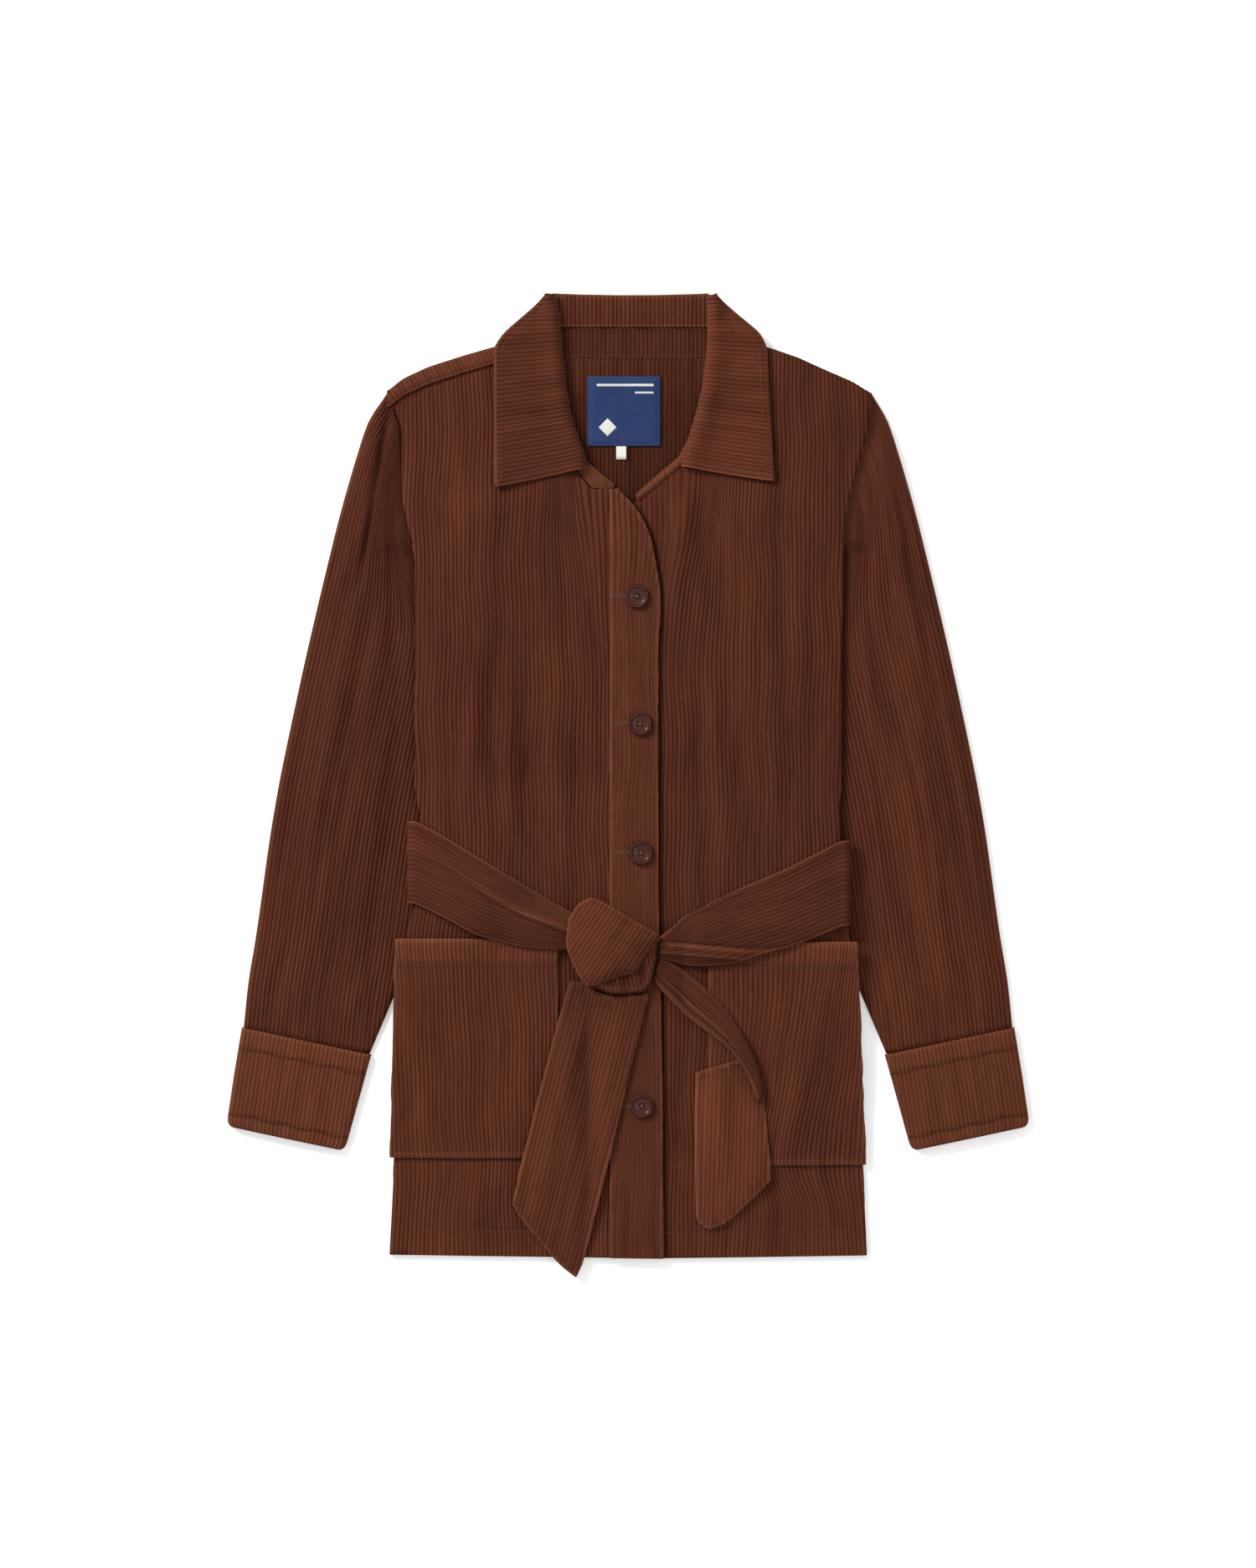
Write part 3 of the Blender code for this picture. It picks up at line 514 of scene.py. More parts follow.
def makeBand():
    piece = bandPiece

    def toneOf(x, y):
        # painted shade along both stitch lines, and painted light and shade on the puckers by the left edge
        stitch = bump(x - piece["left"] - piece["stitchIn"], 0.0009) + \
            bump(readCurve(piece["edge"], y, 1, 0.006) - x - piece["stitchIn"], 0.0009)
        puckerShading = 0.06 * np.sin(y * 900.0 + 3.0 * np.sin(y * 90.0)) * soft(0.014, 0.0, x - piece["left"])
        return 1.04 + 0.10 * soft(0.15, 0.19, y) - 0.22 * stitch + puckerShading

    # wear and painted highlight along both edges
    def rub(x, y):
        edge = np.minimum(x - piece["left"], readCurve(piece["edge"], y, 1, 0.006) - x)
        return 0.10 + 0.50 * bump(edge, 0.0014)

    def height(x, y):
        edge = np.minimum(x - piece["left"], readCurve(piece["edge"], y, 1, 0.006) - x)
        stitch = bump(edge - piece["stitchIn"], 0.0010)
        return onFront(x, y) + cloth["gap"] + rollEdge(edge, 0.0022, 0.0006) - 0.0003 * stitch

    shape = {"x": (piece["left"], 0.0290), "y": (-0.397, 0.2466), "rowStep": piece["rowStep"],
             "strength": piece["strength"],
             "fade": lambda x, y: 0.48 + 0.45 * soft(0.150, 0.195, y),
             "left": lambda y: 0.0 * y + piece["left"],
             "right": lambda y: readCurve(piece["edge"], y, 1, 0.006),
             "low": lambda x: readCurve(body["hem"], x), "high": lambda x: 0.0 * x + 0.2466,
             "tone": toneOf, "rubbed": rub}
    made = finishPiece(panelMesh("frontBand", shape, height), "frontBand", ("front_band",),
                       corduroy, cloth["double"])


makeBand()
print("band done")


# sleeves and cuffs
sleevePiece = {
    # outer fold x, y, inner fold x, y, share of the width that is clear of the body
    "rows": ((0.2180, 0.3040, 0.1780, 0.1780, 0.60), (0.2295, 0.2670, 0.1725, 0.1580, 0.60),
             (0.2410, 0.2270, 0.1620, 0.1360, 0.58), (0.2550, 0.1700, 0.1470, 0.1100, 0.58),
             (0.2695, 0.1080, 0.1360, 0.0780, 0.60), (0.2810, 0.0550, 0.1340, 0.0350, 0.62),
             (0.2915, 0.0050, 0.1390, -0.0150, 0.65), (0.3000, -0.0440, 0.1500, -0.0620, 0.68),
             (0.3110, -0.1250, 0.1810, -0.1430, 0.76), (0.3180, -0.1650, 0.1990, -0.1850, 0.94),
             (0.3218, -0.2035, 0.2162, -0.2258, 1.00)),
    "headGap": 0.0001, "flat": 0.0053, "full": 0.0125, "fold": 0.0060, "widest": 0.160, "rowStep": 0.0062,
    # y of the shoulder's top and of the underarm
    "headTop": 0.3275, "underarm": 0.192, "tone": {-1: 0.98, 1: 1.16},
    "flatSize": (0.300, 0.555), "area": 0.139,
}
# creases of a sleeve: share of the length and of the width at both ends, half width, height
sleeveCreases = (
    (0.10, 0.30, 0.34, 0.22, 0.0065, 0.0024), (0.16, 0.12, 0.40, 0.10, 0.0060, -0.0022),
    (0.30, 0.36, 0.62, 0.33, 0.0075, -0.0026), (0.42, 0.22, 0.78, 0.26, 0.0080, 0.0026),
    (0.55, 0.10, 0.80, 0.13, 0.0070, -0.0020), (0.66, 0.48, 0.95, 0.55, 0.0080, -0.0024),
    (0.72, 0.36, 0.98, 0.38, 0.0075, 0.0020), (0.84, 0.78, 0.99, 0.72, 0.0080, 0.0018),
    (0.80, 0.20, 0.99, 0.22, 0.0060, -0.0016), (0.48, 0.44, 0.56, 0.16, 0.0080, -0.0014),
    (0.62, 0.50, 0.70, 0.24, 0.0080, 0.0014),
)


# sharper folds near the armholes: points, half width, height, painted shade (below zero, painted highlight)
sleeveFolds = {
    -1: ((((-0.2005, 0.3185), (-0.2093, 0.2610), (-0.2174, 0.2140), (-0.2260, 0.1600)), 0.0034, -0.0034, 0.50),
         (((-0.2120, 0.2950), (-0.2300, 0.2200), (-0.2480, 0.1400)), 0.0060, 0.0016, -0.06),
         (((-0.1960, 0.2900), (-0.1985, 0.2300), (-0.1960, 0.1700)), 0.0070, -0.0012, 0.12)),
    1: ((((0.2080, 0.2900), (0.2230, 0.2200), (0.2420, 0.1200)), 0.0050, 0.0014, -0.05),
        (((0.1960, 0.2300), (0.2000, 0.1400), (0.2120, 0.0500)), 0.0060, -0.0016, 0.14),
        (((0.2280, 0.2000), (0.2480, 0.1200), (0.2620, 0.0400)), 0.0055, -0.0016, 0.10)),
}


def foldsAt(x, y, hand):
    # height and painted shade of the folds at a place on the sleeve
    height, dark = 0.0 * x, 0.0 * x
    for points, half, rise, shade in sleeveFolds[hand]:
        path = sorted(points, key=lambda point: point[1])
        ys = [point[1] for point in path]
        line = readCurve([(py, px) for px, py in path], y, 1, 0.006)
        ends = soft(ys[0] - 0.005, ys[0] + 0.040, y) * (1.0 - soft(ys[-1] - 0.012, ys[-1] + 0.003, y))
        height = height + rise * bump(x - line, half) * ends
        dark = dark + shade * bump(x - line, half * 0.8) * ends
    return height, dark


def sleeveCreased(down, share, hand, width):
    total = 0.0 * down
    for d0, s0, d1, s1, half, height in sleeveCreases:
        shift = 0.0 if hand < 0 else 0.035
        along = (down - d0) / (d1 - d0)
        middle = s0 + (s1 - s0) * along + shift + 0.012 * np.sin(6.0 * along + 9.0 * s0 + hand)
        if abs(d1 - d0) < 0.1:
            # a short crease that runs across the sleeve
            across = (share - min(s0, s1)) / abs(s1 - s0)
            centre = d0 + (d1 - d0) * across
            total = total + height * bump((down - centre) * 0.52, half) * np.sin(
                np.pi * np.clip(across, 0.0, 1.0))
        else:
            ends = soft(0.0, 0.35, along) * (1.0 - soft(0.65, 1.0, along))
            total = total + height * bump((share - middle) * width, half) * ends
    return total


def tubeMesh(name, rows, hand, settings, heightOf, armhole=False, tone=1.0):
    # a flat tube: half a turn over the top from the outer fold to the inner one, and back below
    step = cloth["pitch"] / cloth["perWale"]
    half = int(settings["widest"] / step)
    table = np.array(rows)
    keys = np.linspace(0.0, 1.0, len(rows))
    length = math.hypot(rows[0][0] - rows[-1][0], rows[0][1] - rows[-1][1])
    count = int(length / settings["rowStep"])

    def place(u, v):
        signed = (2.0 * u - 1.0) * half * step
        down = 1.0 - v
        blur = 0.35 / len(rows) if len(rows) > 4 else 1e-6
        blurred = blur * np.minimum(1.0, np.minimum(down, 1.0 - down) / blur)

        def column(index):
            return sum(share * np.interp(down + shift * blurred, keys, table[:, index])
                       for shift, share in ((-1.0, 0.25), (0.0, 0.5), (1.0, 0.25)))
        outX, outY, inX, inY = (column(index) for index in range(4))
        width = np.hypot(outX - inX, outY - inY)
        far = np.minimum(np.abs(signed), width)
        share = far / width
        if "corner" in settings:
            # the lower corners draw in
            corner = settings["corner"]
            below = np.clip(1.0 - (1.0 - down) * length / corner, 0.0, 1.0)
            drawn = corner * 0.55 * (1.0 - np.sqrt(1.0 - below ** 2 * 0.98))
            share = mix(drawn / width, 1.0 - drawn / width, share)
        x = mix(outX, inX, share)
        y = mix(outY, inY, share)
        if armhole:
            pull = np.clip(1.0 - down * (len(rows) - 1) / 4.0, 0.0, 1.0)
            lineY = mix(rows[0][1], rows[0][3], share)
            curve = np.abs(sideOf(lineY, hand)) + settings["headGap"]
            x = x + (curve - mix(rows[0][0], rows[0][2], share)) * pull
        inside = np.minimum(far, width - far)
        fold = settings["fold"]
        rounded = np.sqrt(np.clip(1.0 - (1.0 - np.clip(inside / fold, 0.0, 1.0)) ** 2, 0.0, 1.0))
        top = signed >= 0.0
        total = heightOf(down, share, width, hand * x, y)
        relief = waleRise(far) * soft(0.0, 0.004, inside)
        z = np.where(top, 0.5 * total * (1.0 + rounded) + relief, 0.5 * settings["flat"] * (1.0 - rounded))
        if armhole:
            # the head rises to the raised side of the body, so that no light shows between them
            side = np.abs(sideOf(y, hand))
            raised = sleeveLift(side, y) * soft(0.192, 0.204, y) * soft(0.034, 0.002, np.abs(x) - side)
            z = z + raised
        # painted highlight by the outer fold and painted shade on the lower layer; wear and painted highlight
        # on the outer fold's edge
        shade = tone * (1.0 + 0.10 * soft(0.03, 0.0, share)) + 0.0 * x
        extra = settings["toneOf"](down, share, width, hand * x, y) if "toneOf" in settings else 1.0
        clear = np.where(top, 1.0, 0.9)
        return {"x": hand * x, "y": y, "z": z, "across": far, "along": down * length,
                "tone": shade * extra * clear,
                "rubbed": 0.25 * bump(far, 0.002) + settings.get("rub", 0.0)}

    mesh = lattice(name, 2 * half, count, place)
    bm = bmesh.new()
    bm.from_mesh(mesh)
    bmesh.ops.remove_doubles(bm, verts=bm.verts, dist=0.00002)
    bmesh.ops.dissolve_degenerate(bm, edges=bm.edges, dist=0.00001)
    bm.to_mesh(mesh)
    bm.free()
    faceUp(mesh)
    return mesh


cuffPiece = {
    "rows": ((0.3233, -0.2035, 0.2148, -0.2264), (0.3300, -0.2440, 0.2260, -0.2670),
             (0.3362, -0.2860, 0.2370, -0.3070)),
    "fold": 0.0050, "widest": 0.112, "rowStep": 0.0017, "flat": 0.0080, "rub": 0.22,
    # from the top seam, in metres: the turned edge, the upper stitching and the lower stitching
    "seam": 0.0010, "upper": 0.0175, "lower": 0.0730, "length": 0.0840, "corner": 0.0080,
    "wall": 0.0024, "swell": 0.0016, "tone": 1.18, "flatSize": (0.214, 0.084), "area": 0.0178,
}


def cuffTone(down, share, width, x, y):
    at = down * cuffPiece["length"]
    wobble = 0.0008 * np.sin(share * 23.0)
    # painted shade in the pressed grooves of both stitch lines; painted highlights on the turned top edge, the
    # band below it and near the lower edge
    dark = 0.42 * bump(at - cuffPiece["upper"] - wobble, 0.0012)
    dark = dark + 0.48 * bump(at - cuffPiece["lower"] - wobble, 0.0012)
    bright = 0.30 * bump(at - cuffPiece["seam"], 0.0012) + 0.10 * bump(at - 0.080, 0.004)
    bright = bright + 0.10 * soft(0.018, 0.010, at)
    return 1.0 + bright - dark + 0.05 * np.sin(share * 31.0 + at * 60.0) * soft(0.06, 0.072, at)


def makeSleeves():
    for hand, letter in ((-1, "l"), (1, "r")):
        gap = sleevePiece["headGap"]
        top, under = sleevePiece["headTop"], sleevePiece["underarm"]
        head = (abs(float(sideOf(top, hand))) + gap, top, abs(float(sideOf(under, hand))) + gap, under, 0.60)
        rows = (head,) + sleevePiece["rows"]
        clearOf = [row[4] for row in rows]
        keys = np.linspace(0.0, 1.0, len(rows))

        def height(down, share, width, x, y):
            clear = np.interp(down, keys, clearOf)
            t = np.clip(share / clear, 0.0, 1.0)
            puff = np.sin(np.pi * t ** 0.75) ** 0.8
            ends = mix(0.25, 1.0, soft(0.0, 0.16, down)) * mix(0.45, 1.0, soft(1.0, 0.86, down))
            inner = np.clip((clear - share) * width / 0.012, 0.0, 1.0)
            lift = (sleevePiece["full"] - sleevePiece["flat"]) * puff * ends
            folds = sleeveCreased(down, share, hand, width) + foldsAt(x, y, hand)[0]
            return sleevePiece["flat"] + np.maximum(lift + folds * inner, 0.0) * inner

        def tone(down, share, width, x, y):
            # painted light and shade following the creases' height, painted shadow beside the body's edge and
            # painted shade in the folds
            creaseShading = 1.0 + 20.0 * sleeveCreased(down, share, hand, width)
            shaded = (0.30 if hand < 0 else 0.50) * soft(0.0085, 0.0005, np.abs(x) - np.abs(sideOf(y, hand)))
            shaded = shaded * soft(-0.16, -0.10, y)
            lower = 1.0 + 0.12 * soft(0.55, 0.80, down)
            return creaseShading * lower * (1.0 - shaded) * (1.0 - foldsAt(x, y, hand)[1])

        settings = dict(sleevePiece)
        settings["toneOf"] = tone
        mesh = tubeMesh("sleeve_" + letter, rows, hand, settings, height, True, sleevePiece["tone"][hand])
        piece = finishPiece(mesh, "sleeve_" + letter + "Cloth", ("sleeve_" + letter,), corduroy,
                            cloth["wall"], -1.0)

        def cuffHeight(down, share, width, x, y):
            at = down * cuffPiece["length"]
            line = bump(at - cuffPiece["upper"], 0.0016) + bump(at - cuffPiece["lower"], 0.0016)
            ends = 0.0008 * (bump(at, 0.0020) + bump(cuffPiece["length"] - at, 0.0025))
            return cuffPiece["flat"] + cuffPiece["swell"] * np.sin(np.pi * share) - 0.0008 * line - ends

        settings = dict(cuffPiece)
        settings["toneOf"] = cuffTone
        mesh = tubeMesh("cuff_" + letter, cuffPiece["rows"], hand, settings, cuffHeight, False,
                        cuffPiece["tone"])
        piece = finishPiece(mesh, "cuff_" + letter + "Cloth", ("cuff_" + letter,), corduroy,
                            cuffPiece["wall"], -1.0)


makeSleeves()
print("sleeves done")

# patch pockets: inner x, bottom y, top y, outer x at the top and the bottom
pocketPieces = {
    "l": (-1, -0.0590, -0.3120, -0.1295, -0.1940, -0.1990), "r": (1, 0.0680, -0.3180, -0.1320, 0.1910, 0.1990),
}


def makePockets():
    for letter, (hand, inner, bottom, top, outTop, outLow) in pocketPieces.items():
        def outer(y):
            return mix(outLow, outTop, np.clip((y - bottom) / (top - bottom), 0.0, 1.0))

        def edgeOf(x, y):
            sides = np.minimum(np.abs(x - inner), np.abs(outer(y) - x))
            return np.minimum(sides, np.minimum(y - bottom, top - y))

        def height(x, y):
            bulge = 0.0016 * soft(0.0, 0.03, edgeOf(x, y))
            mouth = 0.0010 * soft(-0.02, 0.0, y - top)
            hemLine = 0.0005 * bump(y - (top - 0.0215), 0.0012)
            return onFront(x, y) + 0.0004 + bulge + mouth - hemLine + rollEdge(edgeOf(x, y), 0.0025, 0.0006)

        def tone(x, y):
            hem = soft(top - 0.0225, top - 0.0205, y)
            # painted shade along the hem's stitch line and the edge stitching
            return 1.20 + 0.12 * hem - 0.22 * bump(y - (top - 0.0215), 0.0011) - 0.12 * bump(
                edgeOf(x, y) - 0.0035, 0.0009)

        def rub(x, y):
            # wear and painted highlight along the edges; the hem band is lighter too
            return 0.55 * bump(edgeOf(x, y), 0.0013) + 0.12 * soft(top - 0.0215, top - 0.02, y)

        def fade(x, y):
            return 1.0 - 0.5 * bump(y - (top - 0.0215), 0.0012)

        ends = sorted((inner, outLow))
        shape = {"x": ends, "y": (bottom, top), "rowStep": 0.0050, "fade": fade, "tone": tone, "rubbed": rub,
                 "left": (lambda y: outer(y)) if hand < 0 else (lambda y: 0.0 * y + inner),
                 "right": (lambda y: 0.0 * y + inner) if hand < 0 else (lambda y: outer(y)),
                 "low": lambda x: 0.0 * x + bottom, "high": lambda x: 0.0 * x + top}
        mesh = panelMesh("pocket_" + letter, shape, height)
        piece = finishPiece(mesh, "pocket_" + letter + "Cloth", ("pocket_" + letter,), corduroy,
                            cloth["wall"])


makePockets()
print("pockets done")

# collar
collarPiece = {
    # y, left x, right x
    "roll": ((0.2720, -0.0368, 0.0466), (0.2855, -0.0417, 0.0510), (0.3060, -0.0487, 0.0577),
             (0.3320, -0.0536, 0.0640), (0.3650, -0.0570, 0.0677), (0.3970, -0.0596, 0.0685),
             (0.4110, -0.0640, 0.0680)),
    "edge": ((0.2480, -0.1110, 0.1217), (0.3650, -0.1112, 0.1150), (0.3756, -0.1030, 0.1090),
             (0.4030, -0.0712, 0.0760), (0.4088, -0.0655, 0.0704)),
    "low": {-1: ((-0.1110, 0.2480), (-0.0360, 0.2645)),
            1: ((0.0466, 0.2660), (0.0900, 0.2580), (0.1217, 0.2526))},
    "top": 0.4088, "shoulder": 0.079, "columns": 26, "flat": (0.075, 0.160), "area": 0.0078,
    "tone": {-1: 0.98, 1: 1.25},
}


def ruledMesh(name, columns, rows, point, length, width, heightOf, along=False, **extra):
    # point(u, v) gives x, y; wales run along u when along is set, else along v
    def place(u, v):
        x, y = point(u, v)
        across = v * width if along else u * width
        running = u * length if along else v * length
        made = {"x": x, "y": y, "across": across, "along": running}
        made["z"] = heightOf(x, y, u, v) + waleRise(across, extra.get("strength", 1.0))
        made["wale"] = extra.get("strength", 1.0)
        for key in ("tone", "rubbed"):
            if key in extra:
                made[key] = extra[key](u, v)
        return made

    return lattice(name, columns, rows, place)


def leafEdge(u, v):
    # distance in metres from a leaf's free edges
    return np.minimum(u * 0.064, v * 0.140)


def makeLeaves():
    table = collarPiece
    for hand, letter in ((-1, "l"), (1, "r")):
        column = 1 if hand < 0 else 2

        def edge(y):
            return readCurve(table["edge"], y, column, 0.004)

        def roll(y):
            return readCurve(table["roll"], y, column, 0.006) + hand * 0.0003

        def inward(u):
            # share of the width from the free edge to the roll line
            return u if hand < 0 else 1.0 - u

        def point(u, v):
            u = inward(u)
            x = 0.0 * u
            for _ in range(14):
                y = mix(readCurve(table["low"][hand], x, 1), table["top"], v)
                x = mix(edge(y), roll(y), u)
            return x, y

        def height(x, y, u, v):
            u = inward(u)
            shoulder = readCurve(body["shoulders"], np.maximum(table["shoulder"], np.abs(x)) * hand, 1, 0.003)
            rest = onFront(x, np.minimum(y, shoulder)) + 0.0008
            past = soft(0.003, 0.022, y - shoulder) * soft(0.0, 0.018, np.abs(x) - np.abs(roll(y)))
            rollUp = 0.0040 * bump(np.abs(x) - np.abs(roll(y)) - 0.004, 0.010)
            rollDown = -0.0042 * (1.0 - np.clip((np.abs(x) - np.abs(roll(y))) / 0.0042, 0.0, 1.0)) ** 2
            wave = 0.0012 * np.sin(9.0 * v + hand) * np.sin(np.pi * u)
            lift = 0.0018 * soft(0.35, 0.0, v) * soft(0.5, 0.0, u)
            flat = mix(rest + rollUp + wave + lift, cloth["double"] + 0.0030, past)
            return flat + rollDown * (1.0 - past) + rollEdge(leafEdge(u, v), 0.0030, 0.0008)

        def tone(u, v):
            u = inward(u)
            # painted shade along the stitch line, painted highlight toward the roll
            shade = 1.0 - 0.16 * bump(leafEdge(u, v) - 0.0055, 0.0010) + 0.06 * bump(u - 0.9, 0.1)
            return table["tone"][hand] * shade

        def rub(u, v):
            u = inward(u)
            # wear and painted highlight along the free edges and on the roll
            return 0.60 * bump(leafEdge(u, v), 0.0014) + 0.22 * soft(0.93, 1.0, u)

        mesh = ruledMesh("leaf_" + letter, table["columns"], fineCount(0.150), point, 0.060, 0.150, height,
                         True, tone=tone, rubbed=rub, strength=0.8)
        piece = finishPiece(mesh, "collar_leaf_" + letter + "Cloth", ("collar_leaf_" + letter,),
                            corduroy, cloth["double"])


collarBackPiece = {
    # y of the front edge, of the front's swell and of the fold's top, and the fold's height
    "front": 0.3822, "swell": 0.3960, "top": 0.4110, "reach": 0.0066, "foldSteps": 10,
    # y, left x, right x of the hidden fall
    "fall": ((0.3450, -0.1020, 0.1080), (0.3680, -0.1040, 0.1090), (0.3900, -0.0820, 0.0880),
             (0.4077, -0.0632, 0.0676)),
    "inset": 0.0006, "dip": 0.0015, "rows": 60, "flat": (0.172, 0.095), "area": 0.0138,
}


def makeCollarBack():
    part = collarBackPiece
    reach, fall = part["reach"], part["fall"]
    profile = [(part["front"], reach), (part["swell"], reach + 0.0006)]
    for step in range(part["foldSteps"] + 1):
        angle = math.pi * (0.5 - step / part["foldSteps"])
        profile.append((part["top"] - reach / 2.0 * (1.0 - math.cos(angle)),
                        reach / 2.0 * (1.0 + math.sin(angle))))
    lastOfFold = len(profile) - 1
    profile += [(y, 0.0) for y, _, _ in reversed(fall[:3])]
    run = np.concatenate([[0.0], np.cumsum([math.dist(a, b) for a, b in zip(profile, profile[1:])])])
    crest = run[7]

    def place(u, v):
        walked = v * run[-1]
        y = np.interp(walked, run, [p[0] for p in profile])
        z = np.interp(walked, run, [p[1] for p in profile])
        upper = walked < run[lastOfFold]
        left = np.where(upper, readCurve(collarPiece["roll"], y, 1) + part["inset"], readCurve(fall, y, 1))
        right = np.where(upper, readCurve(collarPiece["roll"], y, 2) - part["inset"], readCurve(fall, y, 2))
        x = mix(left, right, u)
        dip = np.where(y > 0.400, part["dip"] * (1.0 - (2.0 * u - 1.0) ** 2), 0.0)
        z = z + np.where(upper, waleRise(x, 0.9) + 0.0006 * np.sin(26.0 * u) * (1.0 - v), 0.0)
        # painted shade on the stitch line and painted highlight on the fold's crest; wear and painted highlight
        # there and at the front edge
        return {"x": x, "y": y - dip, "z": z, "across": x, "along": walked,
                "tone": 1.14 - 0.14 * bump(y - 0.3850, 0.001) + 0.10 * bump(walked - crest, 0.006),
                "rubbed": 0.30 * bump(walked - crest, 0.004) + 0.7 * bump(walked - 0.0006, 0.0010)}

    mesh = lattice("collarBack", fineCount(0.130), part["rows"], place)
    piece = finishPiece(mesh, "collar_backCloth", ("collar_back",), corduroy, cloth["double"], -1.0)


standPiece = {
    # lower point and upper point, from the opening up to the shoulder
    "l": ((-0.0110, 0.2471, -0.0123, 0.2500), (-0.0200, 0.2471, -0.0220, 0.2585),
          (-0.0300, 0.2480, -0.0340, 0.2685), (-0.0392, 0.2590, -0.0400, 0.2780),
          (-0.0530, 0.2782, -0.0500, 0.3020), (-0.0648, 0.3030, -0.0560, 0.3280),
          (-0.0728, 0.3310, -0.0590, 0.3540)),
    "r": ((0.0078, 0.2373, 0.0070, 0.2410), (0.0195, 0.2456, 0.0170, 0.2505), (0.0450, 0.2670, 0.0435, 0.2730),
          (0.0612, 0.2878, 0.0550, 0.2960), (0.0710, 0.3118, 0.0640, 0.3230), (0.0780, 0.3465, 0.0690, 0.3500)),
    # the stretch inside the back of the neck
    "x": (-0.0586, 0.0676), "y": (0.3563, 0.3817), "length": {"l": 0.118, "r": 0.132},
    "width": 0.026, "area": 0.0016,
}


def makeStand():
    part = standPiece
    def backPoint(u, v):
        return mix(*part["x"], u), mix(*part["y"], v)

    def backHeight(x, y, u, v):
        return collarLift(x, 0.356) + 0.0002 + 0.0 * u

    # painted shade: darker throughout, most of all at the top under the collar's fold; wear and painted
    # highlight along the lower edge
    mesh = ruledMesh("standBack", fineCount(0.1262), 10, backPoint, 0.0254, 0.1262, backHeight, False,
                     tone=lambda u, v: 0.86 - 0.10 * bump(v - 0.16, 0.06) - 0.22 * bump(v - 0.97, 0.10),
                     rubbed=lambda u, v: 0.7 * bump(v - 0.03, 0.05), strength=0.9)
    piece = finishPiece(mesh, "collar_standCloth", ("collar_stand_back",), corduroy, cloth["wall"])
    for letter, length in part["length"].items():
        table = np.array(part[letter])
        keys = np.linspace(0.0, 1.0, len(table))

        def point(u, v):
            s = u if letter == "l" else 1.0 - u
            low = [np.interp(v, keys, table[:, index]) for index in range(4)]
            return mix(low[0], low[2], s), mix(low[1], low[3], s)

        def height(x, y, u, v):
            s = u if letter == "l" else 1.0 - u
            swell = 0.0022 if letter == "r" else 0.0010
            return frontAt(x, y) + swell * np.sin(np.pi * np.clip(s, 0.0, 1.0)) + 0.0002

        def tone(u, v):
            # painted shade along the stitch lines and in the left stand's buttonhole
            hole = bump(v - 0.115, 0.030) * bump(u - 0.45, 0.10) if letter == "l" else 0.0
            return 1.06 - 0.18 * bump(np.minimum(u, 1.0 - u) - 0.16, 0.05) - 0.65 * hole

        def rub(u, v):
            # wear and painted highlight, most along both edges
            return 0.34 + 0.3 * bump(np.minimum(u, 1.0 - u), 0.06)

        mesh = ruledMesh("stand_" + letter, 22, 60, point, 0.020, length, height, True, tone=tone, rubbed=rub,
                         strength=0.5)
        piece = finishPiece(mesh, "collar_stand_" + letter + "Cloth", ("collar_stand_" + letter,),
                            corduroy, cloth["wall"])


makeLeaves()
makeCollarBack()
makeStand()
print("collar done")

# belt
beltPieces = {
    # x, top y, low y
    "l": ((-0.1790, -0.0310, -0.0980), (-0.1500, -0.0470, -0.1120), (-0.1260, -0.0620, -0.1250),
          (-0.0870, -0.0860, -0.1350), (-0.0540, -0.1050, -0.1370), (-0.0475, -0.1090, -0.1370)),
    "r": ((0.1805, -0.0470, -0.1170), (0.1330, -0.0715, -0.1350), (0.0870, -0.0910, -0.1480),
          (0.0630, -0.1040, -0.1510), (0.0450, -0.1130, -0.1500), (0.0320, -0.1240, -0.1460),
          (0.0266, -0.1300, -0.1440)),
    "turnShare": 0.045, "width": 0.063, "blur": 0.006, "columns": 90, "strength": 0.7,
    "flat": {"l": (0.068, 0.155), "r": (0.068, 0.175)}, "area": 0.0083,
    # the hidden stretch: x at both ends, low y at both ends, top y at both ends
    "backX": (-0.1784, 0.1812), "backLow": (-0.0975, -0.1160), "backTop": (-0.0330, -0.0480), "backRows": 12,
    "backFlat": (0.068, 0.360),
    # small creases beside the lip: y, slope
    "creases": ((-0.0980, 0.10), (-0.1080, 0.16)),
    # fold of the left side, lip of the right side
    "fold": ((-0.1620, -0.0715), (-0.0540, -0.1226)),
    "lip": ((0.0320, -0.1330), (0.0600, -0.1350), (0.1000, -0.1385), (0.1330, -0.1350), (0.1805, -0.1170)),
}


def edgeLight(distance):
    return 0.55 * bump(distance, 0.0012)


# painted shade in the stitch groove 3.6 mm in from a piece's edge
def stitchGrooveShade(distance):
    return 0.20 * bump(distance - 0.0036, 0.0010)


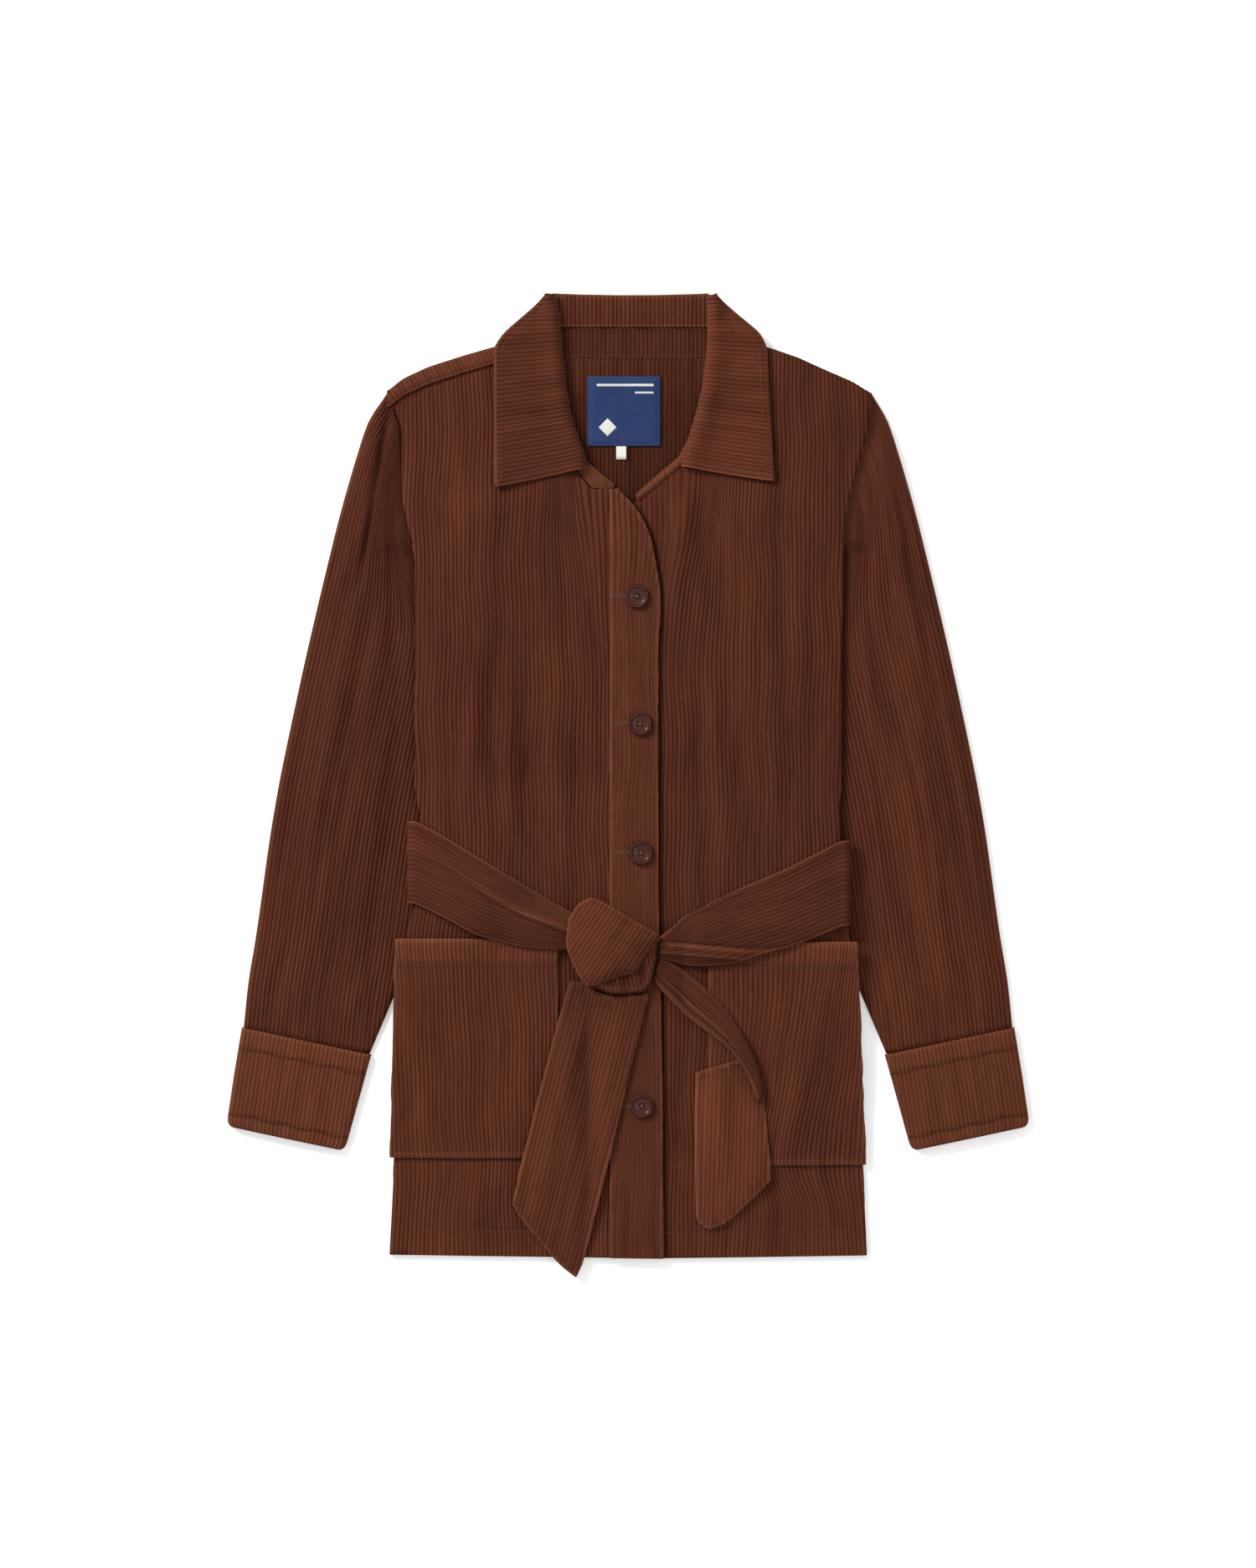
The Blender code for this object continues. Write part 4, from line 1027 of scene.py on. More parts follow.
def makeBelt():
    part = beltPieces
    for hand, letter in ((-1, "l"), (1, "r")):
        rows = part[letter]
        xs = np.array([row[0] for row in rows])
        count = fineCount(part["width"])
        outX = xs[0]
        length = abs(xs[-1] - xs[0]) * 1.15 + 0.008

        def shapeAt(u, v):
            share = np.clip((u - part["turnShare"]) / (1.0 - part["turnShare"]), 0.0, 1.0)
            x = mix(outX, xs[-1], share)
            top = readCurve(tuple(sorted(rows)), x, 1, part["blur"])
            low = readCurve(tuple(sorted(rows)), x, 2, part["blur"])
            return x, mix(low, top, v), top - low

        def place(u, v):
            x, y, width = shapeAt(u, v)
            turned = 1.0 - np.clip(u / part["turnShare"], 0.0, 1.0)
            base = onPocket(x, y) + 0.0003
            pinch = soft(0.082, 0.054, -x) if hand < 0 else soft(0.060, 0.032, x)
            swell = 0.0024 * np.sin(np.pi * v) * soft(0.0, 0.3, u) * (1.0 - pinch)
            edge = np.minimum(v, 1.0 - v) * width
            z = base + swell + rollEdge(edge, 0.0025, 0.0006)
            tone = (1.04 if hand < 0 else 1.0) + 0.0 * x
            # wear and painted highlight along the edges, painted shade on the stitch lines
            rub = edgeLight(edge)
            shadow = stitchGrooveShade(edge)
            if hand < 0:
                (x0, y0), (x1, y1) = part["fold"]
                along = np.clip((x - x0) / (x1 - x0), -0.2, 1.2)
                gap = y - mix(y0, y1, along) - 0.002 * np.sin(7.0 * along)
                strength = soft(0.15, 0.55, along)
                z = z + strength * (0.0026 * bump(gap - 0.0045, 0.0060) - 0.0018 * bump(gap + 0.0025, 0.0030))
                # painted shadow under the fold, painted highlight on its ridge and above it
                shadow = shadow + 0.50 * strength * bump(gap + 0.0022, 0.0020)
                rub = rub + 0.45 * strength * bump(gap - 0.0022, 0.0022)
                tone = tone + 0.05 * soft(0.0, 0.02, gap)
            else:
                lip = readCurve(part["lip"], x, 1, 0.006)
                gap = y - lip
                strength = 1.0 - soft(0.075, 0.150, x)
                z = z + strength * (0.0030 * bump(gap + 0.0050, 0.0050) - 0.0012 * bump(gap - 0.0012, 0.0020))
                # painted shadow along the lip's edge and a line below it, painted highlights on its ridges
                shadow = shadow + strength * (
                    0.45 * bump(gap - 0.0010, 0.0018) + 0.30 * bump(gap + 0.0085, 0.0008))
                rub = rub + strength * 0.55 * (bump(gap + 0.0018, 0.0013) + bump(gap + 0.0065, 0.0010))
                for middle, slope in part["creases"]:
                    crease = y - (middle + slope * (x - 0.06))
                    fade = 1.0 - soft(0.055, 0.120, x)
                    z = z - 0.0012 * fade * bump(crease, 0.0035)
                    shadow = shadow + 0.16 * fade * bump(crease, 0.0035)
            relief = waleRise(v * part["width"], part["strength"])
            floorLevel = sleeveLift(x, y) + 0.0034
            z = mix(z + relief, floorLevel, turned ** 2)
            x = x + hand * (0.0024 * np.sin(0.5 * np.pi * np.clip(turned * 1.4, 0.0, 1.0)))
            # painted highlight where the belt bends over at its end
            return {"x": x, "y": y, "z": z, "across": v * part["width"], "along": u * length,
                    "wale": part["strength"], "rubbed": rub,
                    "tone": tone - shadow + 0.10 * bump(u - part["turnShare"], 0.03)}

        if hand < 0:
            mesh = lattice("belt_l", part["columns"], count, place)
        else:
            mesh = lattice("belt_r", part["columns"], count, lambda u, v: place(1.0 - u, v))
        piece = finishPiece(mesh, "belt_front_" + letter + "Cloth", ("belt_front_" + letter,),
                            corduroy, cloth["double"])

    def backPlace(u, v):
        x = mix(*part["backX"], u)
        y = mix(mix(*part["backLow"], u), mix(*part["backTop"], u), v)
        return {"x": x, "y": y, "z": sleeveLift(x, y), "across": v * part["width"],
                "along": u * part["backFlat"][1]}

    mesh = lattice("beltBack", part["columns"], part["backRows"], backPlace)
    piece = finishPiece(mesh, "beltBack", ("belt_back",), corduroy, cloth["double"])


# outlines cut from cloth whose wales run at an angle
outlineDetail = {"steps": 6, "levels": 500, "passes": 5, "beyond": 0.003}


def outlineMesh(name, outline, angle, rowStep, height, **extra):
    # angle turns the wales away from upright
    c, s = math.cos(angle), math.sin(angle)
    ring = []
    for index in range(len(outline)):
        p0, p1, p2, p3 = (np.array(outline[(index + shift) % len(outline)]) for shift in (-1, 0, 1, 2))
        for step in range(outlineDetail["steps"]):
            t = step / outlineDetail["steps"]
            before = (1 - t) * (p2 - p0 - (p2 - p1) * 2)
            after = t * (p3 - p1 - (p2 - p1) * 2)
            curve = p1 + 0.5 * extra.get("round", 0.5) * t * (1 - t) * (before - after)
            ring.append(curve + (p2 - p1) * t)
    ring = np.array(ring)
    ab = np.stack([ring[:, 0] * c + ring[:, 1] * s, -ring[:, 0] * s + ring[:, 1] * c], 1)

    def spans(key, value):
        # least and greatest value of the outline at each key
        levels = np.linspace(key.min() + 1e-6, key.max() - 1e-6, outlineDetail["levels"])
        low = np.full(len(levels), 1e9)
        high = np.full(len(levels), -1e9)
        for k0, v0, k1, v1 in zip(key, value, np.roll(key, -1), np.roll(value, -1)):
            if abs(k1 - k0) < 1e-9:
                continue
            inside = (levels >= min(k0, k1)) & (levels <= max(k0, k1))
            at = v0 + (v1 - v0) * (levels - k0) / (k1 - k0)
            low = np.where(inside, np.minimum(low, at), low)
            high = np.where(inside, np.maximum(high, at), high)
        return levels, low, high

    bKeys, aLow, aHigh = spans(ab[:, 1], ab[:, 0])
    aKeys, bLow, bHigh = spans(ab[:, 0], ab[:, 1])
    step = cloth["pitch"] / cloth["perWale"]
    first, last = math.floor(ab[:, 0].min() / step) - 1, math.ceil(ab[:, 0].max() / step) + 1
    rows = int((ab[:, 1].max() - ab[:, 1].min()) / rowStep) + 2

    def place(u, v):
        a = mix(first, last, u) * step
        b = mix(ab[:, 1].min() - outlineDetail["beyond"], ab[:, 1].max() + outlineDetail["beyond"], v)
        cleanA, cleanB = a.copy(), b.copy()
        for _ in range(outlineDetail["passes"]):
            a = np.clip(cleanA, np.interp(b, bKeys, aLow), np.interp(b, bKeys, aHigh))
            b = np.clip(cleanB, np.interp(a, aKeys, bLow), np.interp(a, aKeys, bHigh))
        outside = (np.abs(a - cleanA) > 1e-7) | (np.abs(b - cleanB) > 1e-7)
        x, y = a * c - b * s, a * s + b * c
        near = np.full(x.shape, 1.0)
        for (x0, y0), (x1, y1) in zip(ring, np.roll(ring, -1, axis=0)):
            size = max((x1 - x0) ** 2 + (y1 - y0) ** 2, 1e-12)
            t = np.clip(((x - x0) * (x1 - x0) + (y - y0) * (y1 - y0)) / size, 0.0, 1.0)
            near = np.minimum(near, np.hypot(x - x0 - t * (x1 - x0), y - y0 - t * (y1 - y0)))
        strength = extra.get("strength", 1.0)
        z = height(x, y, near) + waleRise(a, strength) * soft(0.0, 0.0015, near)
        made = {"x": x, "y": y, "z": z, "across": a, "along": b, "dropped": outside, "wale": strength}
        for key in ("tone", "rubbed"):
            if key in extra:
                made[key] = extra[key](x, y, near)
        return made

    return lattice(name, last - first, rows, place)


knotPiece = {
    "flap": ((-0.0310, -0.0945), (-0.0220, -0.0975), (0.0020, -0.1120), (0.0225, -0.1235), (0.0272, -0.1278),
             (0.0235, -0.1330), (0.0140, -0.1440), (0.0065, -0.1562), (-0.0060, -0.1600), (-0.0290, -0.1680),
             (-0.0340, -0.1690), (-0.0400, -0.1620), (-0.0470, -0.1480), (-0.0518, -0.1340), (-0.0495, -0.1120),
             (-0.0415, -0.1000)),
    "roll": ((-0.0380, -0.1560), (-0.0330, -0.1660), (-0.0150, -0.1752), (0.0120, -0.1738), (0.0198, -0.1640),
             (0.0232, -0.1480), (0.0242, -0.1330), (0.0130, -0.1260), (-0.0150, -0.1300)),
    "rollBase": 0.0158, "rollHigh": 0.0072, "flapBase": 0.0200, "flapHigh": 0.0074,
    "flapAngle": -0.60, "rollAngle": 0.25, "rowStep": 0.0022, "flapDown": 0.0012, "rollDown": 0.0008,
    "flat": (0.066, 0.160), "area": 0.0088,
}


def closeBelow(mesh, level):
    # walls from the sheet's edge down to a flat base
    bm = bmesh.new()
    bm.from_mesh(mesh)
    edges = [edge for edge in bm.edges if edge.is_boundary]
    grown = bmesh.ops.extrude_edge_only(bm, edges=edges)
    for vert in grown["geom"]:
        if isinstance(vert, bmesh.types.BMVert):
            vert.co.z = level
    rim = [edge for edge in bm.edges if edge.is_boundary]
    bmesh.ops.holes_fill(bm, edges=rim, sides=0)
    bmesh.ops.recalc_face_normals(bm, faces=bm.faces)
    bm.to_mesh(mesh)
    bm.free()


def makeKnot():
    part = knotPiece

    def dome(near, reach):
        t = np.clip(near / reach, 0.0, 1.0)
        return np.sqrt(np.clip(1.0 - (1.0 - t) ** 2, 0.0, 1.0))

    def flapHeight(x, y, near):
        slope = 0.0012 * soft(-0.0512, -0.0100, x) + 0.0008 * soft(-0.17, -0.10, y)
        folds = 0.0009 * bump((y + 0.140) + 0.55 * (x + 0.02), 0.006) - 0.0008 * bump(
            (y + 0.125) + 0.50 * (x + 0.02), 0.005)
        return part["flapBase"] + part["flapHigh"] * dome(near, 0.017) * 0.80 + slope + folds

    def flapTone(x, y, near):
        # painted shade along the stitch line; darker towards the right
        return 1.26 - 0.14 * soft(0.0, 0.03, x + 0.03) - stitchGrooveShade(near)

    mesh = outlineMesh("knotFlap", part["flap"], part["flapAngle"], part["rowStep"], flapHeight, tone=flapTone,
                       strength=0.8, rubbed=lambda x, y, near: edgeLight(near) * 0.8 + 0.12)
    closeBelow(mesh, part["flapBase"] - part["flapDown"])

    def rollHeight(x, y, near):
        ribs = 0.0010 * np.sin(x * 420.0 + y * 160.0)
        return part["rollBase"] + part["rollHigh"] * dome(near, 0.010) * 0.62 + ribs * soft(0.0, 0.004, near)

    # painted highlight on the roll's rounded shoulder, painted shade at its rim; wear and painted highlight on
    # the shoulder too
    under = outlineMesh("knotRoll", part["roll"], part["rollAngle"], part["rowStep"], rollHeight, strength=0.9,
                        tone=lambda x, y, near: (0.92 + 0.14 * bump(near - 0.004, 0.003)
                                                 - 0.20 * bump(near, 0.001)),
                        rubbed=lambda x, y, near: 0.35 * bump(near - 0.003, 0.002))
    closeBelow(under, part["rollBase"] - part["rollDown"])
    bm = bmesh.new()
    bm.from_mesh(mesh)
    bm.from_mesh(under)
    bm.to_mesh(mesh)
    bm.free()
    piece = finishPiece(mesh, "beltKnot", ("belt_knot",), corduroy)


tailPieces = {
    "left": ((0.0110, -0.1768), (-0.0150, -0.1782), (-0.0345, -0.1712), (-0.0475, -0.1640), (-0.0735, -0.2600),
             (-0.0956, -0.3520), (-0.0590, -0.3990), (-0.0440, -0.4115), (-0.0385, -0.3990), (-0.0255, -0.3520),
             (-0.0045, -0.2600), (0.0160, -0.1760)),
    "right": ((0.0700, -0.2375), (0.0583, -0.2400), (0.0575, -0.2640), (0.0575, -0.3300), (0.0585, -0.3640),
              (0.0670, -0.3710), (0.0700, -0.3710), (0.0840, -0.3640), (0.1180, -0.3300), (0.1126, -0.2640),
              (0.1092, -0.2480), (0.1030, -0.2285), (0.0900, -0.2310)),
    "leftAngle": -0.245, "rightAngle": -0.030, "rowStep": 0.0045, "strength": 0.8, "round": 0.15,
    "leftFlat": (0.070, 0.234), "leftArea": 0.0146, "rightFlat": (0.062, 0.143), "rightArea": 0.0066,
    # the shaded line that the turned tail casts on the right one
    "shadeLine": ((0.0570, -0.2350), (0.0825, -0.2250), (0.1030, -0.2460), (0.1090, -0.2630)),
}
turnPiece = {
    # outer edge x, y and inner edge x, y, from the knot to the tail
    "rows": ((0.0262, -0.1465, 0.0222, -0.1620), (0.0450, -0.1555, 0.0400, -0.1835),
             (0.0770, -0.1835, 0.0580, -0.1990), (0.0930, -0.2080, 0.0800, -0.2140),
             (0.1040, -0.2290, 0.0945, -0.2280), (0.1092, -0.2460, 0.1030, -0.2440),
             (0.1118, -0.2640, 0.1090, -0.2630)),
    "width": 0.034, "length": 0.110, "columns": 32, "steps": 60, "strength": 0.6, "groove": 0.42,
    "flat": (0.036, 0.145), "area": 0.0036,
}


def makeTails():
    part = tailPieces

    def leftHeight(x, y, near):
        folds = 0.0016 * bump(x + 0.036 + (y + 0.179) * -0.23, 0.007) - 0.0014 * bump(
            x + 0.010 + (y + 0.179) * -0.24, 0.006)
        lift = 0.0016 * soft(0.0, 0.02, near)
        return onPocket(x, y) + 0.0006 + lift + folds * soft(-0.40, -0.33, y) + rollEdge(near, 0.0025, 0.0006)

    def tailTone(x, y, near):
        # painted shade on the stitch line and a painted shadow at the top under the knot; lighter low down
        return 1.12 - stitchGrooveShade(near) + 0.06 * soft(-0.22, -0.30, y) - 0.22 * soft(-0.200, -0.182, y)

    def tailLitAndWorn(x, y, near):
        # wear and painted highlight along the edges
        return edgeLight(near) + 0.10

    mesh = outlineMesh("tailLeft", part["left"], part["leftAngle"], part["rowStep"], leftHeight, tone=tailTone,
                       rubbed=tailLitAndWorn, strength=part["strength"], round=part["round"])
    piece = finishPiece(mesh, "beltTailLeft", ("belt_tail_l",), corduroy, cloth["double"])

    def rightHeight(x, y, near):
        folds = 0.0014 * bump(x - 0.076, 0.006) - 0.0014 * bump(x - 0.090, 0.006)
        return onPocket(x, y) + 0.0004 + 0.0012 * soft(0.0, 0.02, near) + folds * soft(-0.34, -0.28, y) * soft(
            -0.228, -0.245, y) + rollEdge(near, 0.0025, 0.0006)

    def rightTone(x, y, near):
        edge = readCurve(part["shadeLine"], x)
        return 1.38 - stitchGrooveShade(near) - 0.40 * soft(-0.024, 0.0, y - edge)

    mesh = outlineMesh("tailRight", part["right"], part["rightAngle"], part["rowStep"], rightHeight,
                       tone=rightTone, rubbed=tailLitAndWorn, strength=part["strength"], round=part["round"])
    piece = finishPiece(mesh, "beltTailRight", ("belt_tail_r",), corduroy, cloth["double"])

    table = np.array(turnPiece["rows"])
    keys = np.linspace(0.0, 1.0, len(table))

    def turnPlace(u, v):
        def column(index):
            reach = np.minimum(0.08, np.minimum(v, 1.0 - v))
            return sum(share * np.interp(v + shift * reach, keys, table[:, index])
                       for shift, share in ((-1.0, 0.25), (0.0, 0.5), (1.0, 0.25)))
        x = mix(column(2), column(0), u)
        y = mix(column(3), column(1), u)
        width = np.hypot(column(2) - column(0), column(3) - column(1))
        edge = np.minimum(u, 1.0 - u) * width
        base = onPocket(x, y) + 0.0004
        over = (cloth["double"] + 0.0016) * soft(0.30, 0.60, v)
        tube = 0.0034 * np.sin(np.pi * u) * np.sin(np.pi * np.clip(v + 0.12, 0.0, 1.0))
        groove = 0.0016 * bump(u - turnPiece["groove"], 0.10) * soft(0.05, 0.25, v) * (1.0 - soft(0.35, 0.6, v))
        lip = 0.0010 * bump(u - 0.12, 0.10)
        relief = waleRise(u * turnPiece["width"], turnPiece["strength"])
        z = base + over + tube + lip - groove + relief + rollEdge(edge, 0.0020, 0.0006)
        # painted shade in the groove, on a line near the inner edge and near the knot; wear and painted
        # highlight along both edges and a ridge
        tone = (1.02 - 0.50 * bump(u - turnPiece["groove"], 0.07) * soft(0.05, 0.2, v)
                * (1.0 - soft(0.35, 0.6, v)) - 0.30 * bump(u - 0.20, 0.04) - 0.25 * soft(0.12, 0.0, v))
        rub = 0.65 * bump(u - 0.04, 0.06) + 0.40 * bump(u - 0.30, 0.05) + 0.40 * bump(1.0 - u, 0.05)
        return {"x": x, "y": y, "z": z, "across": u * turnPiece["width"], "along": v * turnPiece["length"],
                "wale": turnPiece["strength"], "tone": tone, "rubbed": rub}

    mesh = lattice("tailTurn", turnPiece["columns"], turnPiece["steps"], turnPlace)
    piece = finishPiece(mesh, "beltTailTurn", ("belt_tail_turn",), corduroy, cloth["double"])
    faceUp(mesh)


makeBelt()
makeKnot()
makeTails()
print("belt done")

# shoulder strip: the back turned forward over the left shoulder
lipPiece = {"inner": -0.0940, "outer": -0.2018, "forward": 0.0148, "rows": 22, "flatShare": 0.62, "slant": 0.45,
            "flat": (0.018, 0.110)}


def makeShoulderLip():
    part = lipPiece
    step = cloth["pitch"] / cloth["perWale"]
    first, last = math.floor(part["outer"] / step), math.ceil(part["inner"] / step)

    def place(u, v):
        x = np.clip(mix(first, last, u) * step, part["outer"], part["inner"])
        top = readCurve(body["shoulders"], x, 1, 0.004) + 0.0004
        low = top - part["forward"]
        high = frontAt(x, low) + 2.0 * cloth["wall"] + 0.0006
        radius = 0.5 * high
        flatShare = part["flatShare"]
        onTop = np.clip(v / flatShare, 0.0, 1.0)
        angle = np.clip((v - flatShare) / (1.0 - flatShare), 0.0, 1.0) * np.pi * 0.90
        y = mix(low, top - radius, onTop) + radius * np.sin(angle)
        z = radius + radius * np.cos(angle) + 0.0009 * np.sin(np.pi * onTop)
        slant = x + part["slant"] * (y - low)
        edge = onTop * (part["forward"] - 0.003)
        # painted shade on the stitch line, wear and painted highlight along the free edge
        return {"x": x, "y": y, "z": z + waleRise(slant, 0.6) * (1.0 - np.sin(0.5 * angle)), "across": slant,
                "along": y, "wale": 0.7, "tone": 1.06 - stitchGrooveShade(edge), "rubbed": 0.12 + edgeLight(edge)}

    mesh = lattice("shoulderLip", last - first, part["rows"], place)
    piece = finishPiece(mesh, "shoulderLip", ("back",), corduroy, cloth["wall"], -1.0)
    faceUp(mesh)


makeShoulderLip()

# label and size tab
labelPiece = {"x": (-0.0340, 0.0270), "y": (0.2830, 0.3410), "wall": 0.0009,
              "blue": (0.0170, 0.0350, 0.108, 1.0), "thread": (0.60, 0.60, 0.56, 1.0),
              "raised": 0.00095, "flat": (0.061, 0.058),
              "bars": (((-0.026, 0.0215), (0.3325, 0.3345)), ((0.0060, 0.0215), (0.3265, 0.3280))),
              "lozenge": (-0.0170, 0.2985), "lozengeHalf": 0.0075}
tabPiece = {"x": (-0.0098, -0.0014), "y": (0.2720, 0.2827), "white": (0.66, 0.65, 0.60, 1.0), "wall": 0.0009,
            "flat": (0.0100, 0.0107)}


def weaveMaterial(name, colour, fine):
    made, shader = newMaterial(name, {"Roughness": 0.72, "Specular IOR Level": 0.15})
    uv = Wire.node("ShaderNodeUVMap", {"uv_map": "cloth"})
    split = Wire.node("ShaderNodeSeparateXYZ", {}, {0: uv}).socket.node
    across, along = Wire(split.outputs[0]), Wire(split.outputs[1])
    twill = ((across + along * 0.5) / fine * (2.0 * math.pi)).cosine() * 0.5 + 0.5
    place = Wire.node("ShaderNodeCombineXYZ", {}, {0: across / 0.012, 1: along / 0.012})
    cloud = Wire.node("ShaderNodeTexNoise", {"noise_dimensions": "2D"},
                      {"Vector": place, "Scale": 1.0, "Detail": 3.0})
    dark = tuple(0.72 * value for value in colour[:3]) + (1.0,)
    bright = tuple(min(1.0, 1.18 * value) for value in colour[:3]) + (1.0,)
    feed(shader, "Base Color", colourMix(twill * 0.5 + cloud * 0.5, dark, bright))
    feed(shader, "Roughness", 0.80 - twill * 0.10)
    feed(shader, "Normal", Wire.node("ShaderNodeBump", {}, {"Strength": 0.5, "Distance": 1.0,
                                                           "Height": twill * 0.00008}))
    return made


def patchMesh(name, xs, ys, rise, step=0.0010):
    def place(u, v):
        x, y = mix(xs[0], xs[1], u), mix(ys[0], ys[1], v)
        edge = np.minimum(np.minimum(x - xs[0], xs[1] - x), np.minimum(y - ys[0], ys[1] - y))
        return {"x": x, "y": y, "z": rise(x, y, edge), "across": x, "along": y, "wale": 0.0}
    return lattice(name, max(2, int((xs[1] - xs[0]) / step)), max(2, int((ys[1] - ys[0]) / step)), place)


def labelTop(x, y, edge):
    wave = 0.0003 * np.sin(x * 160.0) * np.sin(y * 120.0)
    stitch = 0.0003 * bump(edge - 0.0018, 0.0006)
    return backAt(x, y) + cloth["wall"] + 0.0008 + 0.0009 * soft(0.0, 0.006, edge) + wave - stitch


def threadTop(x, y, edge):
    return labelTop(x, y, 0.02) + labelPiece["raised"] + 0.00015 * soft(0.0, 0.0004, edge)


def makeLabel():
    blue = weaveMaterial("labelTwill", labelPiece["blue"], 0.0007)
    white = weaveMaterial("labelThread", labelPiece["thread"], 0.0006)
    mesh = patchMesh("neckLabel", labelPiece["x"], labelPiece["y"], labelTop)
    piece = finishPiece(mesh, "neckLabel", ("neck_label",), blue, labelPiece["wall"])
    # a plain woven motif: two bars and a lozenge
    motif = bmesh.new()
    for xs, ys in labelPiece["bars"]:
        bar = patchMesh("bar", xs, ys, threadTop, 0.0005)
        motif.from_mesh(bar)
        bpy.data.meshes.remove(bar)
    middle, half = labelPiece["lozenge"], labelPiece["lozengeHalf"]

    def diamond(u, v):
        a, b = 2.0 * u - 1.0, 2.0 * v - 1.0
        x = middle[0] + 0.5 * (a - b) * half
        y = middle[1] + 0.5 * (a + b) * half
        edge = np.minimum(1.0 - np.abs(a), 1.0 - np.abs(b)) * half
        return {"x": x, "y": y, "z": threadTop(x, y, edge), "across": x, "along": y, "wale": 0.0}

    shape = lattice("lozenge", 16, 16, diamond)
    motif.from_mesh(shape)
    bpy.data.meshes.remove(shape)
    mesh = bpy.data.meshes.new("labelMotif")
    motif.to_mesh(mesh)
    motif.free()
    finishPiece(mesh, "labelMotif", ("neck_label",), white, 0.0003)

    tabWhite = weaveMaterial("tabRibbon", tabPiece["white"], 0.0006)

    def tabRise(x, y, edge):
        return backAt(x, y) + cloth["wall"] + 0.0008 + 0.0012 * soft(0.2827, 0.2735, y) * soft(
            0.2720, 0.2740, y)

    mesh = patchMesh("sizeTab", tabPiece["x"], tabPiece["y"], tabRise, 0.0006)
    piece = finishPiece(mesh, "sizeTab", ("size_tab",), tabWhite, tabPiece["wall"])


makeLabel()
print("label done")

# buttons
buttonPiece = {
    "places": ((0.0074, 0.1567), (0.0102, 0.0503), (0.0109, -0.0575), (0.0116, -0.2689)),
    # radius, height of the turned profile
    "profile": ((0.0000, 0.0016), (0.0064, 0.0017), (0.0070, 0.0021), (0.0075, 0.0029), (0.0081, 0.0034),
                (0.0089, 0.0034), (0.0096, 0.0028), (0.0100, 0.0019), (0.0097, 0.0009), (0.0085, 0.0002),
                (0.0060, 0.0000), (0.0000, 0.0000)),
    "sides": 64, "hole": 0.00085, "holeSides": 20, "holeDepth": 0.008, "apart": 0.00260, "turn": 0.10,
    "lift": 0.0006,
    "thread": 0.00024, "threadHigh": 0.0015, "threadArch": 0.0006,
    "colour": (0.036, 0.0060, 0.0036, 1.0), "swirl": (0.070, 0.0150, 0.0090, 1.0),
}


def buttonMaterial():
    made, shader = newMaterial("buttonResin", {
        "Roughness": 0.20, "Specular IOR Level": 0.26, "Coat Weight": 0.22, "Coat Roughness": 0.06})
    spot = Wire.node("ShaderNodeTexCoord", {}, {}, 3)
    swirl = Wire.node("ShaderNodeTexNoise", {}, {
        "Vector": spot, "Scale": 260.0, "Detail": 3.0, "Distortion": 1.2})
    amount = Wire.node("ShaderNodeClamp", {}, {0: (swirl - 0.42) * 3.0})
    feed(shader, "Base Color", colourMix(amount, buttonPiece["colour"], buttonPiece["swirl"]))
    feed(shader, "Roughness", 0.20 + amount * 0.08)
    return made


def turned(name, profile, count):
    bm = bmesh.new()
    verts = [bm.verts.new((radius, 0.0, height)) for radius, height in profile]
    edges = [bm.edges.new(pair) for pair in zip(verts, verts[1:])]
    bmesh.ops.spin(bm, geom=verts + edges, cent=(0, 0, 0), axis=(0, 0, 1), angle=2.0 * math.pi, steps=count,
                   use_merge=True, use_duplicate=False)
    bmesh.ops.remove_doubles(bm, verts=bm.verts, dist=0.00001)
    bmesh.ops.recalc_face_normals(bm, faces=bm.faces)
    mesh = bpy.data.meshes.new(name)
    bm.to_mesh(mesh)
    bm.free()
    return mesh


def makeButtonMesh():
    part = buttonPiece
    blank = bpy.data.objects.new("blank", turned("button", part["profile"], part["sides"]))
    bpy.context.scene.collection.objects.link(blank)
    cutter = bmesh.new()
    for sx in (-1, 1):
        for sy in (-1, 1):
            made = bmesh.ops.create_cone(cutter, cap_ends=True, segments=part["holeSides"],
                                         radius1=part["hole"], radius2=part["hole"] * 1.15,
                                         depth=part["holeDepth"])
            bmesh.ops.translate(cutter, verts=made["verts"],
                                vec=(sx * 0.5 * part["apart"] * 1.1, sy * 0.5 * part["apart"] * 1.1, 0.0))
    tool = bpy.data.meshes.new("holes")
    cutter.to_mesh(tool)
    cutter.free()
    drill = bpy.data.objects.new("holes", tool)
    bpy.context.scene.collection.objects.link(drill)
    cut = blank.modifiers.new("holes", "BOOLEAN")
    cut.operation = "DIFFERENCE"
    cut.object = drill
    bpy.context.view_layer.update()
    mesh = bpy.data.meshes.new_from_object(blank.evaluated_get(bpy.context.evaluated_depsgraph_get()))
    mesh.name = "fourHoleButton"
    for thing in (blank, drill):
        bpy.data.objects.remove(thing)
    mesh.shade_smooth()
    mesh.set_sharp_from_angle(angle=math.radians(35.0))
    return mesh


